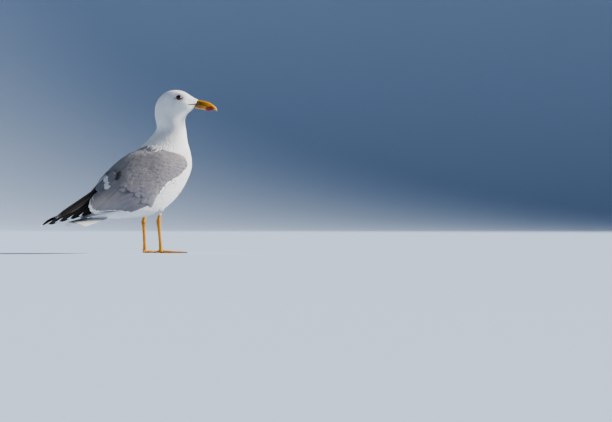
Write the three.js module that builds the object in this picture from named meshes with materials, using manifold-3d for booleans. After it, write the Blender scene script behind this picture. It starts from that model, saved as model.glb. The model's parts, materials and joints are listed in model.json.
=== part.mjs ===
// A life-size yellow-legged gull (Larus michahellis), standing still with its head turned to its right.
// Millimetres, +Z up. +X is the way the trunk faces, -Y is the bird's right side, and the floor is Z = 0.
// The origin lies on the floor, under the middle of the whole bird.
import * as THREE from "three";
import { mergeVertices } from "three/addons/utils/BufferGeometryUtils.js";
import Module from "manifold-3d";

const wasm = await Module();
wasm.setup();

// ---- driving dimensions ----------------------------------------------------------------------
const GAP = 0.35; // clear space left between two neighbouring pieces
const SLIVER = 0.02; // edges shorter than this are left out of a cut solid
const HEAD_TURN = THREE.MathUtils.degToRad(37); // how far the head looks to the bird's right
const NECK_X = 50; // the upright axis that head and neck turn about
const TURN_FROM_Z = 205; // below this height nothing is turned
const TURN_DONE_Z = 298; // above this height all is turned the whole way

// Head, neck and trunk are one form, given by sections from the bill's base to the tail's coverts.
// Each one spans from a point of the back's outline to a point of the throat's and belly's outline,
// both [x, z] with the head looking straight ahead, and is so many mm wide each way.
const BODY_RINGS = 41;
const BODY_SIDES = 26;
const SECTIONS = [
  { at: "bill base", back: [104, 330], front: [96.5, 311], half: 8 },
  { at: "lores", back: [98, 335], front: [93.5, 307.5], half: 12.5 },
  { at: "forehead", back: [89, 341], front: [90, 304.5], half: 18 },
  { at: "eye", back: [76, 348.5], front: [86, 301], half: 23 },
  { at: "crown", back: [58, 352], front: [83, 297], half: 26 },
  { at: "hind crown", back: [35, 346], front: [80.5, 291], half: 27.5 },
  { at: "nape", back: [16.5, 325], front: [79.5, 284], half: 28 },
  { at: "upper neck", back: [12.5, 299], front: [80.5, 277], half: 29 },
  { at: "lower neck", back: [15.5, 268], front: [83.5, 262], half: 33 },
  { at: "shoulder", back: [-5, 243], front: [86, 240], half: 43 },
  { at: "mantle", back: [-36, 219], front: [93, 214], half: 53 },
  { at: "breast", back: [-68, 197], front: [97.5, 186], half: 57 },
  { at: "keel", back: [-98, 170], front: [82, 150], half: 57 },
  { at: "back", back: [-120, 142], front: [49, 114], half: 53 },
  { at: "rump", back: [-136, 119], front: [-6, 84], half: 46 },
  { at: "vent", back: [-152, 103], front: [-72, 74.5], half: 36 },
  { at: "tail coverts", back: [-168, 91], front: [-128, 73], half: 25 },
  { at: "coverts' tips", back: [-182, 82.5], front: [-172, 73], half: 16 },
];
const HEAD_CUT = { at: [55, 0, 296], tilt: -22 }; // the parting between head and neck
const NECK_CUT = { at: [40, 0, 246], tilt: 12 }; // between neck and trunk
const RUMP_CUT = { at: [-44, 0, 140], tilt: 68 }; // between the fleshy trunk and the feathery rump

const BILL = {
  turnDown: THREE.MathUtils.degToRad(8), // the whole bill hangs this much below the level
  base: [96, 322], // middle of the bill where the feathers end, head straight ahead
  upperLength: 52,
  lowerLength: 44,
  upperDepth: 10.6, // above the line where the mandibles meet
  lowerDepth: 8.4,
  halfWidth: 7.8,
  hook: 7.5, // how far the tip bends below the line of the mouth
  gonys: 0.66, // where the lower mandible's angle lies, as a share of its length
  gonysDepth: 8.2,
  rings: 10,
  sides: 14,
};
const EYE = { x: 65, z: 333, y: 18.8, radius: 7.2 }; // head straight ahead

// The folded wing. Seen from the side, its upper and lower edge are [x, z] points; seen from above,
// its upper edge, its fullest part and its lower edge lie so far from the middle, as [x, y] points.
const WING = {
  upper: [[58, 190], [44, 207], [20, 218], [-22, 218], [-60, 206], [-100, 181], [-150, 139], [-206, 101]],
  lower: [[58, 186], [36, 173], [-8, 146], [-34, 122], [-52, 104], [-84, 94], [-150, 87], [-206, 78]],
  upperOut: [[58, 49], [20, 43], [-22, 34], [-60, 23], [-100, 15], [-150, 5], [-206, 4]],
  fullOut: [[58, 52], [20, 71], [-30, 80], [-80, 72], [-130, 54], [-206, 26]],
  lowerOut: [[58, 50], [10, 60], [-50, 57], [-90, 50], [-150, 33], [-206, 20]],
  front: 58,
  back: -206,
  thickness: 13,
  stations: 16,
  points: 8, // across the wing
};
const WING_CUT = { at: [-172, -20, 110], tilt: 65 }; // the parting between wing and primaries

// Wing tips: five primaries show, and each one's tip lies behind and below the next one's.
const PRIMARIES = {
  count: 5,
  root: [-140, -17, 112], // of the longest one
  rootStep: [0, -1.2, -2.5], // from one feather's root to the next
  tip: [-298, -5, 57.5],
  tipStep: [30, -1.6, 7],
  width: 16,
  thickness: 3,
};

const TAIL = {
  baseX: -150,
  tipX: -228,
  baseZ: 86,
  tipZ: 62,
  baseHalf: 19,
  tipHalf: 31,
  rounding: 14, // how much shorter the outermost feathers are
  arch: 6,
  thickness: 2.4,
  stations: 12,
};

const LEG = {
  foot: [-1, -28, 6], // the joint where the toes meet
  ankle: [-6, -26, 67],
  knee: [6, -26, 128], // hidden in the flank's feathers
  tarsus: [3.9, 2.9], // half the tarsus, front to back and side to side
  joint: [5.4, 4.3],
  shank: [4.2, 3.5],
  thighTop: [22, 17],
  thighEnd: [7.5, 6],
  sides: 10,
  rings: 18,
  thighCutZ: 88, // the parting between the feathered thigh and the bare shank
  footCutZ: 10.5, // the parting between tarsus and foot
};
const TOES = [
  { name: "inner", angle: -27, length: 41, claw: 7.5 },
  { name: "middle", angle: 2, length: 53, claw: 8.5 },
  { name: "outer", angle: 29, length: 51, claw: 7 },
];
const TOE_RADIUS = 3.3;
const TOE_TIP_RADIUS = 2.1;
const HIND_TOE = { angle: 205, length: 10, radius: 1.8, z: 6, drop: 3.4, claw: 5 }; // only its claw rests
const WEB_THICKNESS = 1.4;
const WEB_REACH = 0.8; // how far out the web's free edge reaches between two toes
const FOOT_TURN = THREE.MathUtils.degToRad(5); // toes point outwards by this much

// ---- finishes --------------------------------------------------------------------------------
const finish = (color, roughness) => new THREE.MeshStandardMaterial({ color, roughness, metalness: 0 });
const WHITE_PLUMAGE = finish(0xeceae4, 0.9);
const GREY_PLUMAGE = finish(0x8d9196, 0.88);
const BLACK_PLUMAGE = finish(0x1b1a1b, 0.75);
const BILL_HORN = finish(0xe0a11c, 0.4);
const EYE_SURFACE = finish(0x8a7a4c, 0.12);
const LEG_SKIN = finish(0xd99a24, 0.55);
const CLAW_HORN = finish(0x1f1a17, 0.4);

// ---- helpers ---------------------------------------------------------------------------------
const V = (x, y, z) => new THREE.Vector3(x, y, z);
const smooth = (t) => THREE.MathUtils.smoothstep(t, 0, 1);
const mix = THREE.MathUtils.lerp;
const mixAll = (a, b, share) => a.map((value, i) => mix(value, b[i], share));
const curveThrough = (points) => new THREE.CatmullRomCurve3(points, false, "centripetal");

// A smooth curve through [x, value] points, read as a function of x, which falls all the way.
function heightOver(points) {
  const curve = curveThrough(points.map(([x, value]) => V(x, value, 0)));
  return (x) => {
    let low = 0;
    let high = 1;
    for (let i = 0; i < 26; i++) {
      const middle = (low + high) / 2;
      if (curve.getPoint(middle).x > x) low = middle;
      else high = middle;
    }
    return curve.getPoint((low + high) / 2).y;
  };
}

// Points round an oval section, from its middle and its two half axes.
function oval(centre, a, b, sides) {
  const ring = [];
  for (let j = 0; j < sides; j++) {
    const angle = (2 * Math.PI * j) / sides;
    ring.push(centre.clone().addScaledVector(a, Math.cos(angle)).addScaledVector(b, Math.sin(angle)));
  }
  return ring;
}

// One closed solid through rings of points, each ring with the same number of points.
function loft(rings) {
  const sides = rings[0].length;
  const positions = rings.flat().flatMap((p) => p.toArray());
  const index = [];
  for (let i = 0; i < rings.length - 1; i++) {
    for (let j = 0; j < sides; j++) {
      const a = i * sides + j;
      const b = i * sides + ((j + 1) % sides);
      index.push(a, b, a + sides, b, b + sides, a + sides);
    }
  }
  const cap = (ring, start, flip) => {
    const centre = ring.reduce((sum, p) => sum.add(p), V(0, 0, 0)).divideScalar(sides);
    const middle = positions.length / 3;
    positions.push(...centre.toArray());
    for (let j = 0; j < sides; j++) {
      const a = start + j;
      const b = start + ((j + 1) % sides);
      index.push(...(flip ? [middle, b, a] : [middle, a, b]));
    }
  };
  cap(rings[0], 0, true);
  cap(rings.at(-1), (rings.length - 1) * sides, false);
  const geometry = new THREE.BufferGeometry();
  geometry.setAttribute("position", new THREE.Float32BufferAttribute(positions, 3));
  geometry.setIndex(index);
  return solidOf(geometry);
}

function manifoldOf(positions, index) {
  return new wasm.Manifold(new wasm.Mesh({ numProp: 3, vertProperties: positions, triVerts: index }));
}

// A manifold-3d solid of a closed geometry, turned the right way out.
function solidOf(geometry) {
  const bare = geometry.clone();
  bare.deleteAttribute("normal");
  bare.deleteAttribute("uv");
  const merged = mergeVertices(bare, 1e-4);
  const positions = merged.attributes.position.array;
  const index = new Uint32Array(merged.index.array);
  const made = manifoldOf(positions, index);
  return made.volume() > 0 ? made : manifoldOf(positions, index.reverse());
}

function geometryOf(solid) {
  const { vertProperties, triVerts } = solid.getMesh();
  const geometry = new THREE.BufferGeometry();
  geometry.setAttribute("position", new THREE.BufferAttribute(new Float32Array(vertProperties), 3));
  geometry.setIndex([...triVerts]);
  return geometry;
}

// A solid with every corner moved by a rule.
function moved(solid, rule) {
  const geometry = geometryOf(solid);
  const places = geometry.attributes.position;
  for (let i = 0; i < places.count; i++) {
    places.setXYZ(i, ...rule(V(places.getX(i), places.getY(i), places.getZ(i))).toArray());
  }
  return solidOf(geometry);
}

const mirrored = (solid) => moved(solid, (p) => p.setY(-p.y));
const onRight = (solid) => solid;

// The pieces of a solid, cut apart by thin slabs, from the largest to the smallest.
function parted(solid, ...slabs) {
  const rest = slabs.reduce((left, plate) => left.subtract(plate), solid);
  return rest.decompose().sort((a, b) => b.volume() - a.volume());
}

// A slab of the gap's thickness, level where tilt is 0, and large enough to cut through all.
function slab({ at, tilt }) {
  const plate = new THREE.BoxGeometry(300, 300, GAP);
  plate.rotateY(THREE.MathUtils.degToRad(tilt));
  plate.translate(...at);
  return solidOf(plate);
}

const heightOf = (solid) => {
  const { min, max } = solid.boundingBox();
  return (min[2] + max[2]) / 2;
};
const byHeight = (a, b) => heightOf(b) - heightOf(a);

// Turns a point about the neck's upright axis, by more the higher it is.
function turnHead(p) {
  const share = smooth((p.z - TURN_FROM_Z) / (TURN_DONE_Z - TURN_FROM_Z));
  const x = p.x - NECK_X;
  const y = p.y;
  const angle = -HEAD_TURN * share;
  p.x = NECK_X + x * Math.cos(angle) - y * Math.sin(angle);
  p.y = x * Math.sin(angle) + y * Math.cos(angle);
  return p;
}

// ---- head, neck and trunk --------------------------------------------------------------------
// The form of the bird without wings, tail and legs, or the same form swollen all round.
function bodyForm(swell) {
  const back = curveThrough(SECTIONS.map((s) => V(s.back[0], 0, s.back[1])));
  const front = curveThrough(SECTIONS.map((s) => V(s.front[0], 0, s.front[1])));
  const half = curveThrough(SECTIONS.map((s, i) => V(i * 30, s.half, 0)));
  const rings = [];
  for (let i = 0; i <= BODY_RINGS; i++) {
    const t = i / BODY_RINGS;
    const top = back.getPoint(t);
    const middle = top.clone().lerp(front.getPoint(t), 0.5);
    const up = top.sub(middle);
    up.setLength(up.length() + swell);
    const side = V(0, half.getPoint(t).y + swell, 0);
    rings.push(oval(middle, up, side, BODY_SIDES).map(turnHead));
  }
  return loft(rings);
}

function eyeball(swell) {
  const ball = new THREE.SphereGeometry(EYE.radius + swell, 14, 8);
  ball.translate(EYE.x, -EYE.y, EYE.z);
  return solidOf(ball);
}

// ---- bill ------------------------------------------------------------------------------------
// The line where the mandibles meet, as a point at a share t of the bill's length.
function mouthLine(t) {
  const drop = BILL.hook * Math.pow(t, 3.2) + Math.tan(BILL.turnDown) * BILL.upperLength * t;
  return V(BILL.base[0] + BILL.upperLength * t, 0, BILL.base[1] - drop);
}

// One mandible: on one side of the mouth's line it is as deep as its section says, on the other flat.
function mandible(length, gape, section) {
  const rings = [];
  for (let i = 0; i <= BILL.rings; i++) {
    const share = i / BILL.rings;
    const centre = mouthLine((share * length) / BILL.upperLength);
    const { depth, width } = section(share);
    const ring = [];
    for (let j = 0; j < BILL.sides; j++) {
      const angle = (2 * Math.PI * j) / BILL.sides;
      const reach = Math.sin(angle) > 0 ? depth : 0.4 * Math.sign(depth);
      ring.push(turnHead(V(centre.x, width * Math.cos(angle), centre.z + gape + reach * Math.sin(angle))));
    }
    rings.push(ring);
  }
  return loft(rings);
}

const upperMandible = () =>
  mandible(BILL.upperLength, 0.6, (t) => {
    const saddle = 1 - 0.16 * Math.sin(Math.PI * Math.min(1, t * 1.6)); // behind the hook the culmen dips
    return {
      depth: BILL.upperDepth * saddle * Math.pow(1 - t, 0.42) + 0.7,
      width: BILL.halfWidth * Math.pow(1 - 0.94 * t, 0.62) + 0.4,
    };
  });

const lowerMandible = () =>
  mandible(BILL.lowerLength, -0.8, (t) => {
    const beyond = Math.max(0, (t - BILL.gonys) / (1 - BILL.gonys));
    const depth = mix(BILL.lowerDepth, BILL.gonysDepth, smooth(t / BILL.gonys));
    return {
      depth: -depth * (1 - 0.86 * Math.pow(beyond, 1.5)),
      width: BILL.halfWidth * 0.92 * Math.pow(1 - 0.9 * t, 0.6),
    };
  });

// ---- wing: a curved slab that hugs the trunk's side, with the long primaries behind it --------
function wingSlab() {
  const upper = heightOver(WING.upper);
  const lower = heightOver(WING.lower);
  const upperOut = heightOver(WING.upperOut);
  const fullOut = heightOver(WING.fullOut);
  const lowerOut = heightOver(WING.lowerOut);
  const rings = [];
  for (let i = 0; i <= WING.stations; i++) {
    const t = i / WING.stations;
    const x = mix(WING.front, WING.back, mix(t, smooth(t), 0.65));
    const arc = new THREE.QuadraticBezierCurve3(
      V(x, -upperOut(x), upper(x)),
      V(x, -fullOut(x), mix(lower(x), upper(x), 0.66)),
      V(x, -lowerOut(x), lower(x)),
    );
    const thickness = WING.thickness * mix(1, 0.3, t) * mix(0.5, 1, smooth(t * 6));
    const outer = [];
    const inner = [];
    for (let j = 0; j < WING.points; j++) {
      const across = j / (WING.points - 1);
      const point = arc.getPoint(across);
      const tangent = arc.getTangent(across);
      const inward = V(0, -tangent.z, tangent.y).normalize();
      const depth = thickness * (0.16 + 0.84 * Math.pow(Math.sin(Math.PI * across), 0.6));
      outer.push(point);
      inner.unshift(point.clone().addScaledVector(inward, depth));
    }
    rings.push([...outer, ...inner]);
  }
  return loft(rings);
}

// A long feather from its root to its tip: a blade with a flat underside and a rounded end.
function blade({ root, tip, width, face, thickness, steps = 5, round = 0.16 }) {
  const along = tip.clone().sub(root);
  const side = face.clone().cross(along).normalize();
  const lift = along.clone().cross(side).setLength(thickness);
  const rings = [];
  for (let i = 0; i <= steps; i++) {
    const t = Math.sin((Math.PI / 2) * (i / steps));
    const fromTip = Math.min(1, (1 - t) / round);
    const half = (width / 2) * mix(0.72, 1, smooth(t * 2)) * Math.sqrt(1 - 0.97 * (1 - fromTip) ** 2);
    const centre = root.clone().addScaledVector(along, t);
    rings.push(
      [[-1, 0.25], [0, 1], [1, 0.25], [1, 0], [-1, 0]].map(([across, high]) =>
        centre.clone().addScaledVector(side, across * half).addScaledVector(lift, high),
      ),
    );
  }
  return loft(rings);
}

// The right wing's primaries, joined into one stepped tip.
function wingTip() {
  const { count, root, rootStep, tip, tipStep, width, thickness } = PRIMARIES;
  const feathers = Array.from({ length: count }, (_, i) =>
    blade({
      root: V(...root).addScaledVector(V(...rootStep), i),
      tip: V(...tip).addScaledVector(V(...tipStep), i),
      width,
      face: V(0.1, -0.75, 0.65),
      thickness,
    }),
  );
  return feathers.reduce((joined, feather) => joined.add(feather));
}

// ---- tail: one closed fan, a little arched, with a rounded end --------------------------------
function tailFan() {
  const { baseX, tipX, baseZ, tipZ, baseHalf, tipHalf, rounding, arch, thickness, stations } = TAIL;
  const rings = [];
  for (let i = 0; i <= stations; i++) {
    const across = (2 * i) / stations - 1;
    const curve = across * across;
    const base = V(baseX, across * baseHalf, baseZ - arch * 0.5 * curve);
    const tip = V(tipX + rounding * curve, across * tipHalf, tipZ - arch * curve);
    const thick = thickness * mix(1, 0.3, curve);
    rings.push([
      base,
      base.clone().lerp(tip, 0.5),
      tip,
      tip.clone().add(V(0, 0, thick * 0.5)),
      base.clone().lerp(tip, 0.5).add(V(0, 0, thick)),
      base.clone().add(V(0, 0, thick)),
    ]);
  }
  return loft(rings);
}

// ---- legs and feet ---------------------------------------------------------------------------
// Round or oval sections along a line of { at, size: [fore and aft, sideways] }.
function limb(stations, sides, steps) {
  const line = curveThrough(stations.map((s) => V(...s.at)));
  const girth = curveThrough(stations.map((s, i) => V(i * 10, ...s.size)));
  const rings = [];
  for (let i = 0; i <= steps; i++) {
    const t = i / steps;
    const tangent = line.getTangent(t);
    const upright = Math.abs(tangent.z) > 0.6;
    const across = upright ? V(0, 1, 0) : V(0, 0, 1).cross(tangent).normalize();
    const fore = across.clone().cross(tangent).normalize();
    const size = girth.getPoint(t);
    rings.push(oval(line.getPoint(t), fore.multiplyScalar(size.y), across.multiplyScalar(size.z), sides));
  }
  return loft(rings);
}

function wholeLeg() {
  const { foot, ankle, knee, tarsus, joint, shank, thighTop, thighEnd, sides, rings } = LEG;
  return limb(
    [
      { at: knee, size: thighTop },
      { at: mixAll(knee, ankle, 0.3), size: mixAll(thighTop, thighEnd, 0.45) },
      { at: mixAll(knee, ankle, 0.62), size: thighEnd },
      { at: mixAll(knee, ankle, 0.72), size: shank },
      { at: mixAll(knee, ankle, 0.86), size: shank },
      { at: ankle, size: joint },
      { at: mixAll(ankle, foot, 0.16), size: mixAll(joint, tarsus, 0.7) },
      { at: mixAll(ankle, foot, 0.4), size: tarsus },
      { at: mixAll(ankle, foot, 0.78), size: tarsus },
      { at: foot, size: [5, 4.3] },
    ],
    sides,
    rings,
  );
}

// A place on the right foot, before the foot is turned and set under its leg.
function spoke(angle, length, z) {
  const turn = THREE.MathUtils.degToRad(angle);
  return [length * Math.cos(turn), -length * Math.sin(turn), z];
}

function toe({ angle, length }) {
  return limb(
    [0, 0.35, 0.7, 1].map((share) => {
      const radius = mix(TOE_RADIUS, TOE_TIP_RADIUS, share);
      const z = radius * 0.72 + 1.6 * (1 - share) ** 3;
      return { at: spoke(angle, length * share, z), size: [radius, radius] };
    }),
    8,
    5,
  );
}

function hindToe({ angle, length, radius, z, drop }) {
  const size = [radius, radius];
  return limb([0.2, 1].map((share) => ({ at: spoke(angle, length * share, z - drop * share), size })), 8, 2);
}

// A claw starts a gap beyond its toe's end, bends down and rests its tip on the floor.
function claw(angle, from, length, radius, z) {
  return limb(
    [0, 0.4, 0.75, 1].map((share) => ({
      at: spoke(angle, from + GAP + length * share, z * (1 - share * share)),
      size: [mix(radius, 0.4, share), mix(radius, 0.4, share) * 0.8],
    })),
    6,
    3,
  );
}

// The skin between two toes: a flat sheet whose free edge curves inwards.
function web(first, second) {
  const outline = new THREE.Shape();
  const [a, b] = [first, second].map((t) => spoke(t.angle, t.length * 0.96, 0));
  const dip = spoke((first.angle + second.angle) / 2, ((first.length + second.length) / 2) * WEB_REACH, 0);
  outline.moveTo(0, 0);
  outline.lineTo(a[0], a[1]);
  outline.quadraticCurveTo(dip[0], dip[1], b[0], b[1]);
  outline.closePath();
  const sheet = { depth: WEB_THICKNESS, bevelEnabled: false, curveSegments: 6 };
  return solidOf(new THREE.ExtrudeGeometry(outline, sheet));
}

function placeFoot(p) {
  return p.applyAxisAngle(V(0, 0, 1), -FOOT_TURN).add(V(LEG.foot[0], LEG.foot[1], 0));
}

function footForm() {
  const knuckle = solidOf(new THREE.SphereGeometry(5, 12, 8).scale(1.1, 1, 0.95).translate(-0.5, 0, 4.6));
  const webs = web(TOES[0], TOES[1]).add(web(TOES[1], TOES[2]));
  const toes = TOES.reduce((joined, t) => joined.add(toe(t)), hindToe(HIND_TOE));
  return moved(knuckle.add(webs).add(toes), placeFoot);
}

function claws() {
  const front = TOES.map((t) => ({
    name: t.name,
    solid: claw(t.angle, t.length, t.claw, 1.7, TOE_TIP_RADIUS * 0.8),
  }));
  const { angle, length, z, drop } = HIND_TOE;
  const hind = claw(angle, length, HIND_TOE.claw, 1.2, z - drop);
  return [...front, { name: "hind", solid: hind }].map((c) => ({ ...c, solid: moved(c.solid, placeFoot) }));
}

// ---- assembly --------------------------------------------------------------------------------
const bird = new THREE.Group();

function add(name, solid, material) {
  const geometry = geometryOf(solid.simplify(SLIVER));
  geometry.computeVertexNormals();
  const mesh = new THREE.Mesh(geometry, material);
  mesh.name = name;
  bird.add(mesh);
}

const form = bodyForm(0);
const clearForm = bodyForm(GAP);
const above = solidOf(new THREE.BoxGeometry(600, 600, 200).translate(0, 0, 100));

const bodyCuts = [HEAD_CUT, NECK_CUT, RUMP_CUT].map(slab);
const [head, neck, trunk, rump] = parted(form, ...bodyCuts).sort(byHeight);
const sockets = moved(eyeball(GAP), turnHead).add(moved(mirrored(eyeball(GAP)), turnHead));
add("head", head.subtract(sockets), WHITE_PLUMAGE);
add("neck", neck, WHITE_PLUMAGE);
add("trunk", trunk, WHITE_PLUMAGE);
add("rump", rump, WHITE_PLUMAGE);
add("bill_upper", parted(upperMandible().subtract(clearForm))[0], BILL_HORN);
add("bill_lower", parted(lowerMandible().subtract(clearForm))[0], BILL_HORN);
add("tail", parted(tailFan().subtract(clearForm))[0], WHITE_PLUMAGE);

const wholeWing = wingSlab().add(wingTip());
const legCuts = [LEG.thighCutZ, LEG.footCutZ].map((z) => slab({ at: [0, 0, z], tilt: 0 }));
const legWithFoot = wholeLeg().add(footForm()).subtract(clearForm).intersect(above);
const [thigh, shank, foot] = parted(legWithFoot, ...legCuts).slice(0, 3).sort(byHeight);
const sides = { right: onRight, left: mirrored };
for (const [side, place] of Object.entries(sides)) {
  const [wing, primaries] = parted(place(wholeWing).subtract(clearForm), place(slab(WING_CUT)));
  add("eye_" + side, moved(place(eyeball(0)), turnHead), EYE_SURFACE);
  add("wing_" + side, wing, GREY_PLUMAGE);
  add("primaries_" + side, primaries, BLACK_PLUMAGE);
  add("thigh_" + side, place(thigh), WHITE_PLUMAGE);
  add("leg_" + side, place(shank), LEG_SKIN);
  add("foot_" + side, place(foot), LEG_SKIN);
  for (const c of claws()) add(`claw_${side}_${c.name}`, place(c.solid.intersect(above)), CLAW_HORN);
}

// The frame's origin is under the middle of the bird's box.
const box = new THREE.Box3().setFromObject(bird);
const middle = box.getCenter(V(0, 0, 0));
bird.position.set(-middle.x, -middle.y, -box.min.z);

export default bird;
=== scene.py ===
"""A life-size yellow-legged gull: skin, feathers, bill, eyes, legs and claws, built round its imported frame.

The frame is loaded first. Each operator below makes one piece or one group of like pieces, and main() calls
them in order. The bird's own measures are in millimetres, in its own frame: +X is the way its trunk faces,
-Y is its right side and Z is the height above the floor. to_frame() turns such points into the frame's
metres. Turns are in radians, and a side is -1 on the bird's right and 1 on its left.
"""

import json
import math

import bmesh
import bpy
import numpy as np
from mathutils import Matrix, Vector
from mathutils.bvhtree import BVHTree
from mathutils.kdtree import KDTree

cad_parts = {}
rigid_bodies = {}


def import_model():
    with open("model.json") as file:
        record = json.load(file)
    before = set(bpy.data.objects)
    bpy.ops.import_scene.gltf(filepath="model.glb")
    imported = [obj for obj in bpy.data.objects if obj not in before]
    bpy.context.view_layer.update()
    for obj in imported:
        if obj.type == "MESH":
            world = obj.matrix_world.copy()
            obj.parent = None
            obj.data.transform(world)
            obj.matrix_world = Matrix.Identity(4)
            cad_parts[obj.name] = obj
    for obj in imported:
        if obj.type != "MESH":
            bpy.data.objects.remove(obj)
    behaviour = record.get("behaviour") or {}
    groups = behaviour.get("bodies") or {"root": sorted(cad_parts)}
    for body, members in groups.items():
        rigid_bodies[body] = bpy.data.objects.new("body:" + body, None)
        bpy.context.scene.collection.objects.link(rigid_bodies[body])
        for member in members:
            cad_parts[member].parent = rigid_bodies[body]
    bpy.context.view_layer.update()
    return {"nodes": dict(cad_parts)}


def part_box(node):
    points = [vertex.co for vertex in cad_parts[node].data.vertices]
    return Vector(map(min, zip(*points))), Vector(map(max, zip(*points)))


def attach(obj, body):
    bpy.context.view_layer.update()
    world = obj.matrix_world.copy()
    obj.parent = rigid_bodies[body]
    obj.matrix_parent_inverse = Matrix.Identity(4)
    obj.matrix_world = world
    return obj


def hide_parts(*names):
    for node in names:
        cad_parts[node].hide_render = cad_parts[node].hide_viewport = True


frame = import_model()

bl_info = {
    "name": "Standing gull",
    "version": (1, 0, 0),
    "blender": (4, 5, 0),
    "location": "View3D > Sidebar > Gull",
    "description": "Builds the skin, feathers, bill, eyes and feet of a life-size standing gull",
    "category": "Add Mesh",
}

BODY = "root"
DOUBLES = 1e-7  # vertices this near to each other, in metres, are one
SIDES = {"right": -1.0, "left": 1.0}

# ---- the bird's measures, in millimetres ----
TAIL_END_X = -228.0
SHIFT_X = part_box("tail")[0].x * 1000 - TAIL_END_X

HEAD_TURN = math.radians(37)
NECK_X = 50.0
TURN_FROM_Z = 205.0
TURN_DONE_Z = 298.0

# From the bill's base to the coverts of the tail, with the head straight ahead: x and z of the back's
# outline, x and z of the throat's and belly's outline, half the width, the coat's depth, and how far
# apart its feathers grow.
BACK, FRONT, HALF_WIDTH, COAT_DEPTH, COAT_SPACING = [0, 1], [2, 3], 4, 5, 6
BODY_SECTIONS = np.array(
    [
        [106.5, 331, 96.5, 311, 8, 0.35, 0.75],
        [98, 335, 93.5, 307.5, 12.5, 0.5, 0.83],
        [89, 341, 90, 304.5, 18, 0.7, 0.94],
        [76, 348.5, 86, 301, 23, 0.9, 1.05],
        [58, 352, 83, 297, 26, 1.2, 1.2],
        [35, 346, 80.5, 291, 27.5, 1.4, 1.35],
        [16.5, 325, 79.5, 284, 28, 1.7, 1.42],
        [12.5, 299, 80.5, 277, 29, 2.0, 1.5],
        [15.5, 268, 83.5, 262, 33, 2.4, 1.65],
        [-5, 243, 86, 240, 43, 2.8, 1.88],
        [-36, 219, 93, 214, 53, 3.2, 2.03],
        [-68, 197, 97.5, 186, 57, 3.4, 2.1],
        [-98, 170, 82, 150, 57, 3.4, 2.17],
        [-120, 142, 50, 112, 53, 3.4, 2.25],
        [-136, 119, -3, 82, 46, 3.2, 2.25],
        [-152, 103, -72, 74.5, 36, 2.8, 2.25],
        [-168, 91, -128, 73, 25, 2.2, 2.25],
        [-182, 82.5, -172, 73, 16, 1.5, 2.25],
    ]
)
LAST_SECTION = len(BODY_SECTIONS) - 1
SECTION_STEP = 30.0  # about how far apart the sections are
# Sections by number: where the face ends, the head ends, the trunk begins and the mantle begins.
FACE_SECTION, HEAD_SECTION, TRUNK_SECTION, MANTLE_SECTION = 3.5, 6, 9, 9.4

EYE = np.array([65.0, 17.8, 333.0])
EYE_RADIUS = 7.2
LID_OPENING = (5.4, 3.9)  # half the eye's opening, along the head and upright
LID_EDGE = 6.7  # from the eye's middle to where the feathers begin
LID_OUTER = (6.4, 5.6)  # half the lid's outer edge, along the head and upright
FACE_HALF_WIDTH = 8.0  # what lies further out than this is the side of the head

BILL_BASE = (96.0, 322.0)
BILL_DROP = math.tan(math.radians(8))
UPPER_LENGTH, UPPER_DEPTH = 52.0, 10.6
LOWER_LENGTH, LOWER_DEPTH, GONYS_DEPTH = 45.5, 8.4, 8.6
BILL_HALF_WIDTH = 7.8
HOOK = 9.3
GONYS = 0.7  # the share of the lower half's length at which it turns up
NOSTRIL = 0.31  # the share of the upper half's length at which the nostril is
RED_SPOT = 0.79  # the share of either half's length at which the red is
GAPE_START, GAPE_END = (101.5, 321.0), (84.5, 319.6)  # the corner of the mouth, from the bill back

WING_UPPER = [(58, 190), (44, 207), (20, 218), (-22, 218), (-60, 206), (-100, 181), (-150, 139), (-206, 101)]
WING_LOWER = [(58, 186), (36, 173), (-8, 146), (-34, 122), (-52, 104), (-84, 94), (-150, 87), (-206, 78)]
WING_UPPER_OUT = [(58, 49), (20, 43), (-22, 34), (-60, 23), (-100, 15), (-150, 5), (-206, 4)]
WING_FULL_OUT = [(58, 52), (20, 71), (-30, 80), (-80, 72), (-130, 54), (-206, 26)]
WING_LOWER_OUT = [(58, 50), (10, 60), (-50, 57), (-90, 50), (-150, 33), (-206, 20)]
WING_FRONT, WING_BACK = 58.0, -206.0
WING_BASE_BACK = -168.0  # where the wing's thin base ends under its feathers
WING_LENGTH = WING_FRONT - WING_BACK

FOOT_X, FOOT_Y = -1.0, 28.0
ANKLE = np.array([-6.0, 26.0, 67.0])
SOLE_Z = 0.8  # below this height the soles stay flat
FOOT_TURN = math.radians(5)
LEG_AXIS_X = ((67, 128), (-6, 6))  # x of the leg's middle at two heights, from the ankle up
THIGH_END_Z = 85.0  # where the feathers of the leg end
THIGH_HIDDEN_Z = 104.0  # above this height the body hides the thigh
THIGH_POST = 6.6  # half the thickness of the thigh under its feathers
TOES = {"inner": (-27.0, 41.0), "middle": (2.0, 53.0), "outer": (29.0, 51.0)}  # spread in degrees, length


def to_frame(points):
    """Points in the bird's millimetres as points of the frame, in metres."""
    return (np.asarray(points, float) + (SHIFT_X, 0, 0)) / 1000


def to_bird(points):
    """Points of the frame, in metres, as points in the bird's millimetres."""
    return np.asarray(points, float) * 1000 - (SHIFT_X, 0, 0)


# ---- curves and small sums ----
def smooth(x, low=0.0, high=1.0):
    """Rises softly from 0 where x is low to 1 where it is high. It falls where low is the greater."""
    t = np.clip((np.asarray(x, float) - low) / (high - low), 0, 1)
    return t * t * (3 - 2 * t)


def mix(a, b, share):
    return a + (b - a) * share


def bump(x, middle, spread):
    """A round hump, 1 high, about a middle."""
    return np.exp(-(((x - middle) / spread) ** 2))


def full_turn(count):
    """Angles spread evenly once round."""
    return np.linspace(0, 2 * np.pi, count, endpoint=False)


def unit(vectors):
    return vectors / np.maximum(np.linalg.norm(vectors, axis=-1, keepdims=True), 1e-9)


def dot(a, b):
    return np.sum(a * b, axis=-1, keepdims=True)


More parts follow.
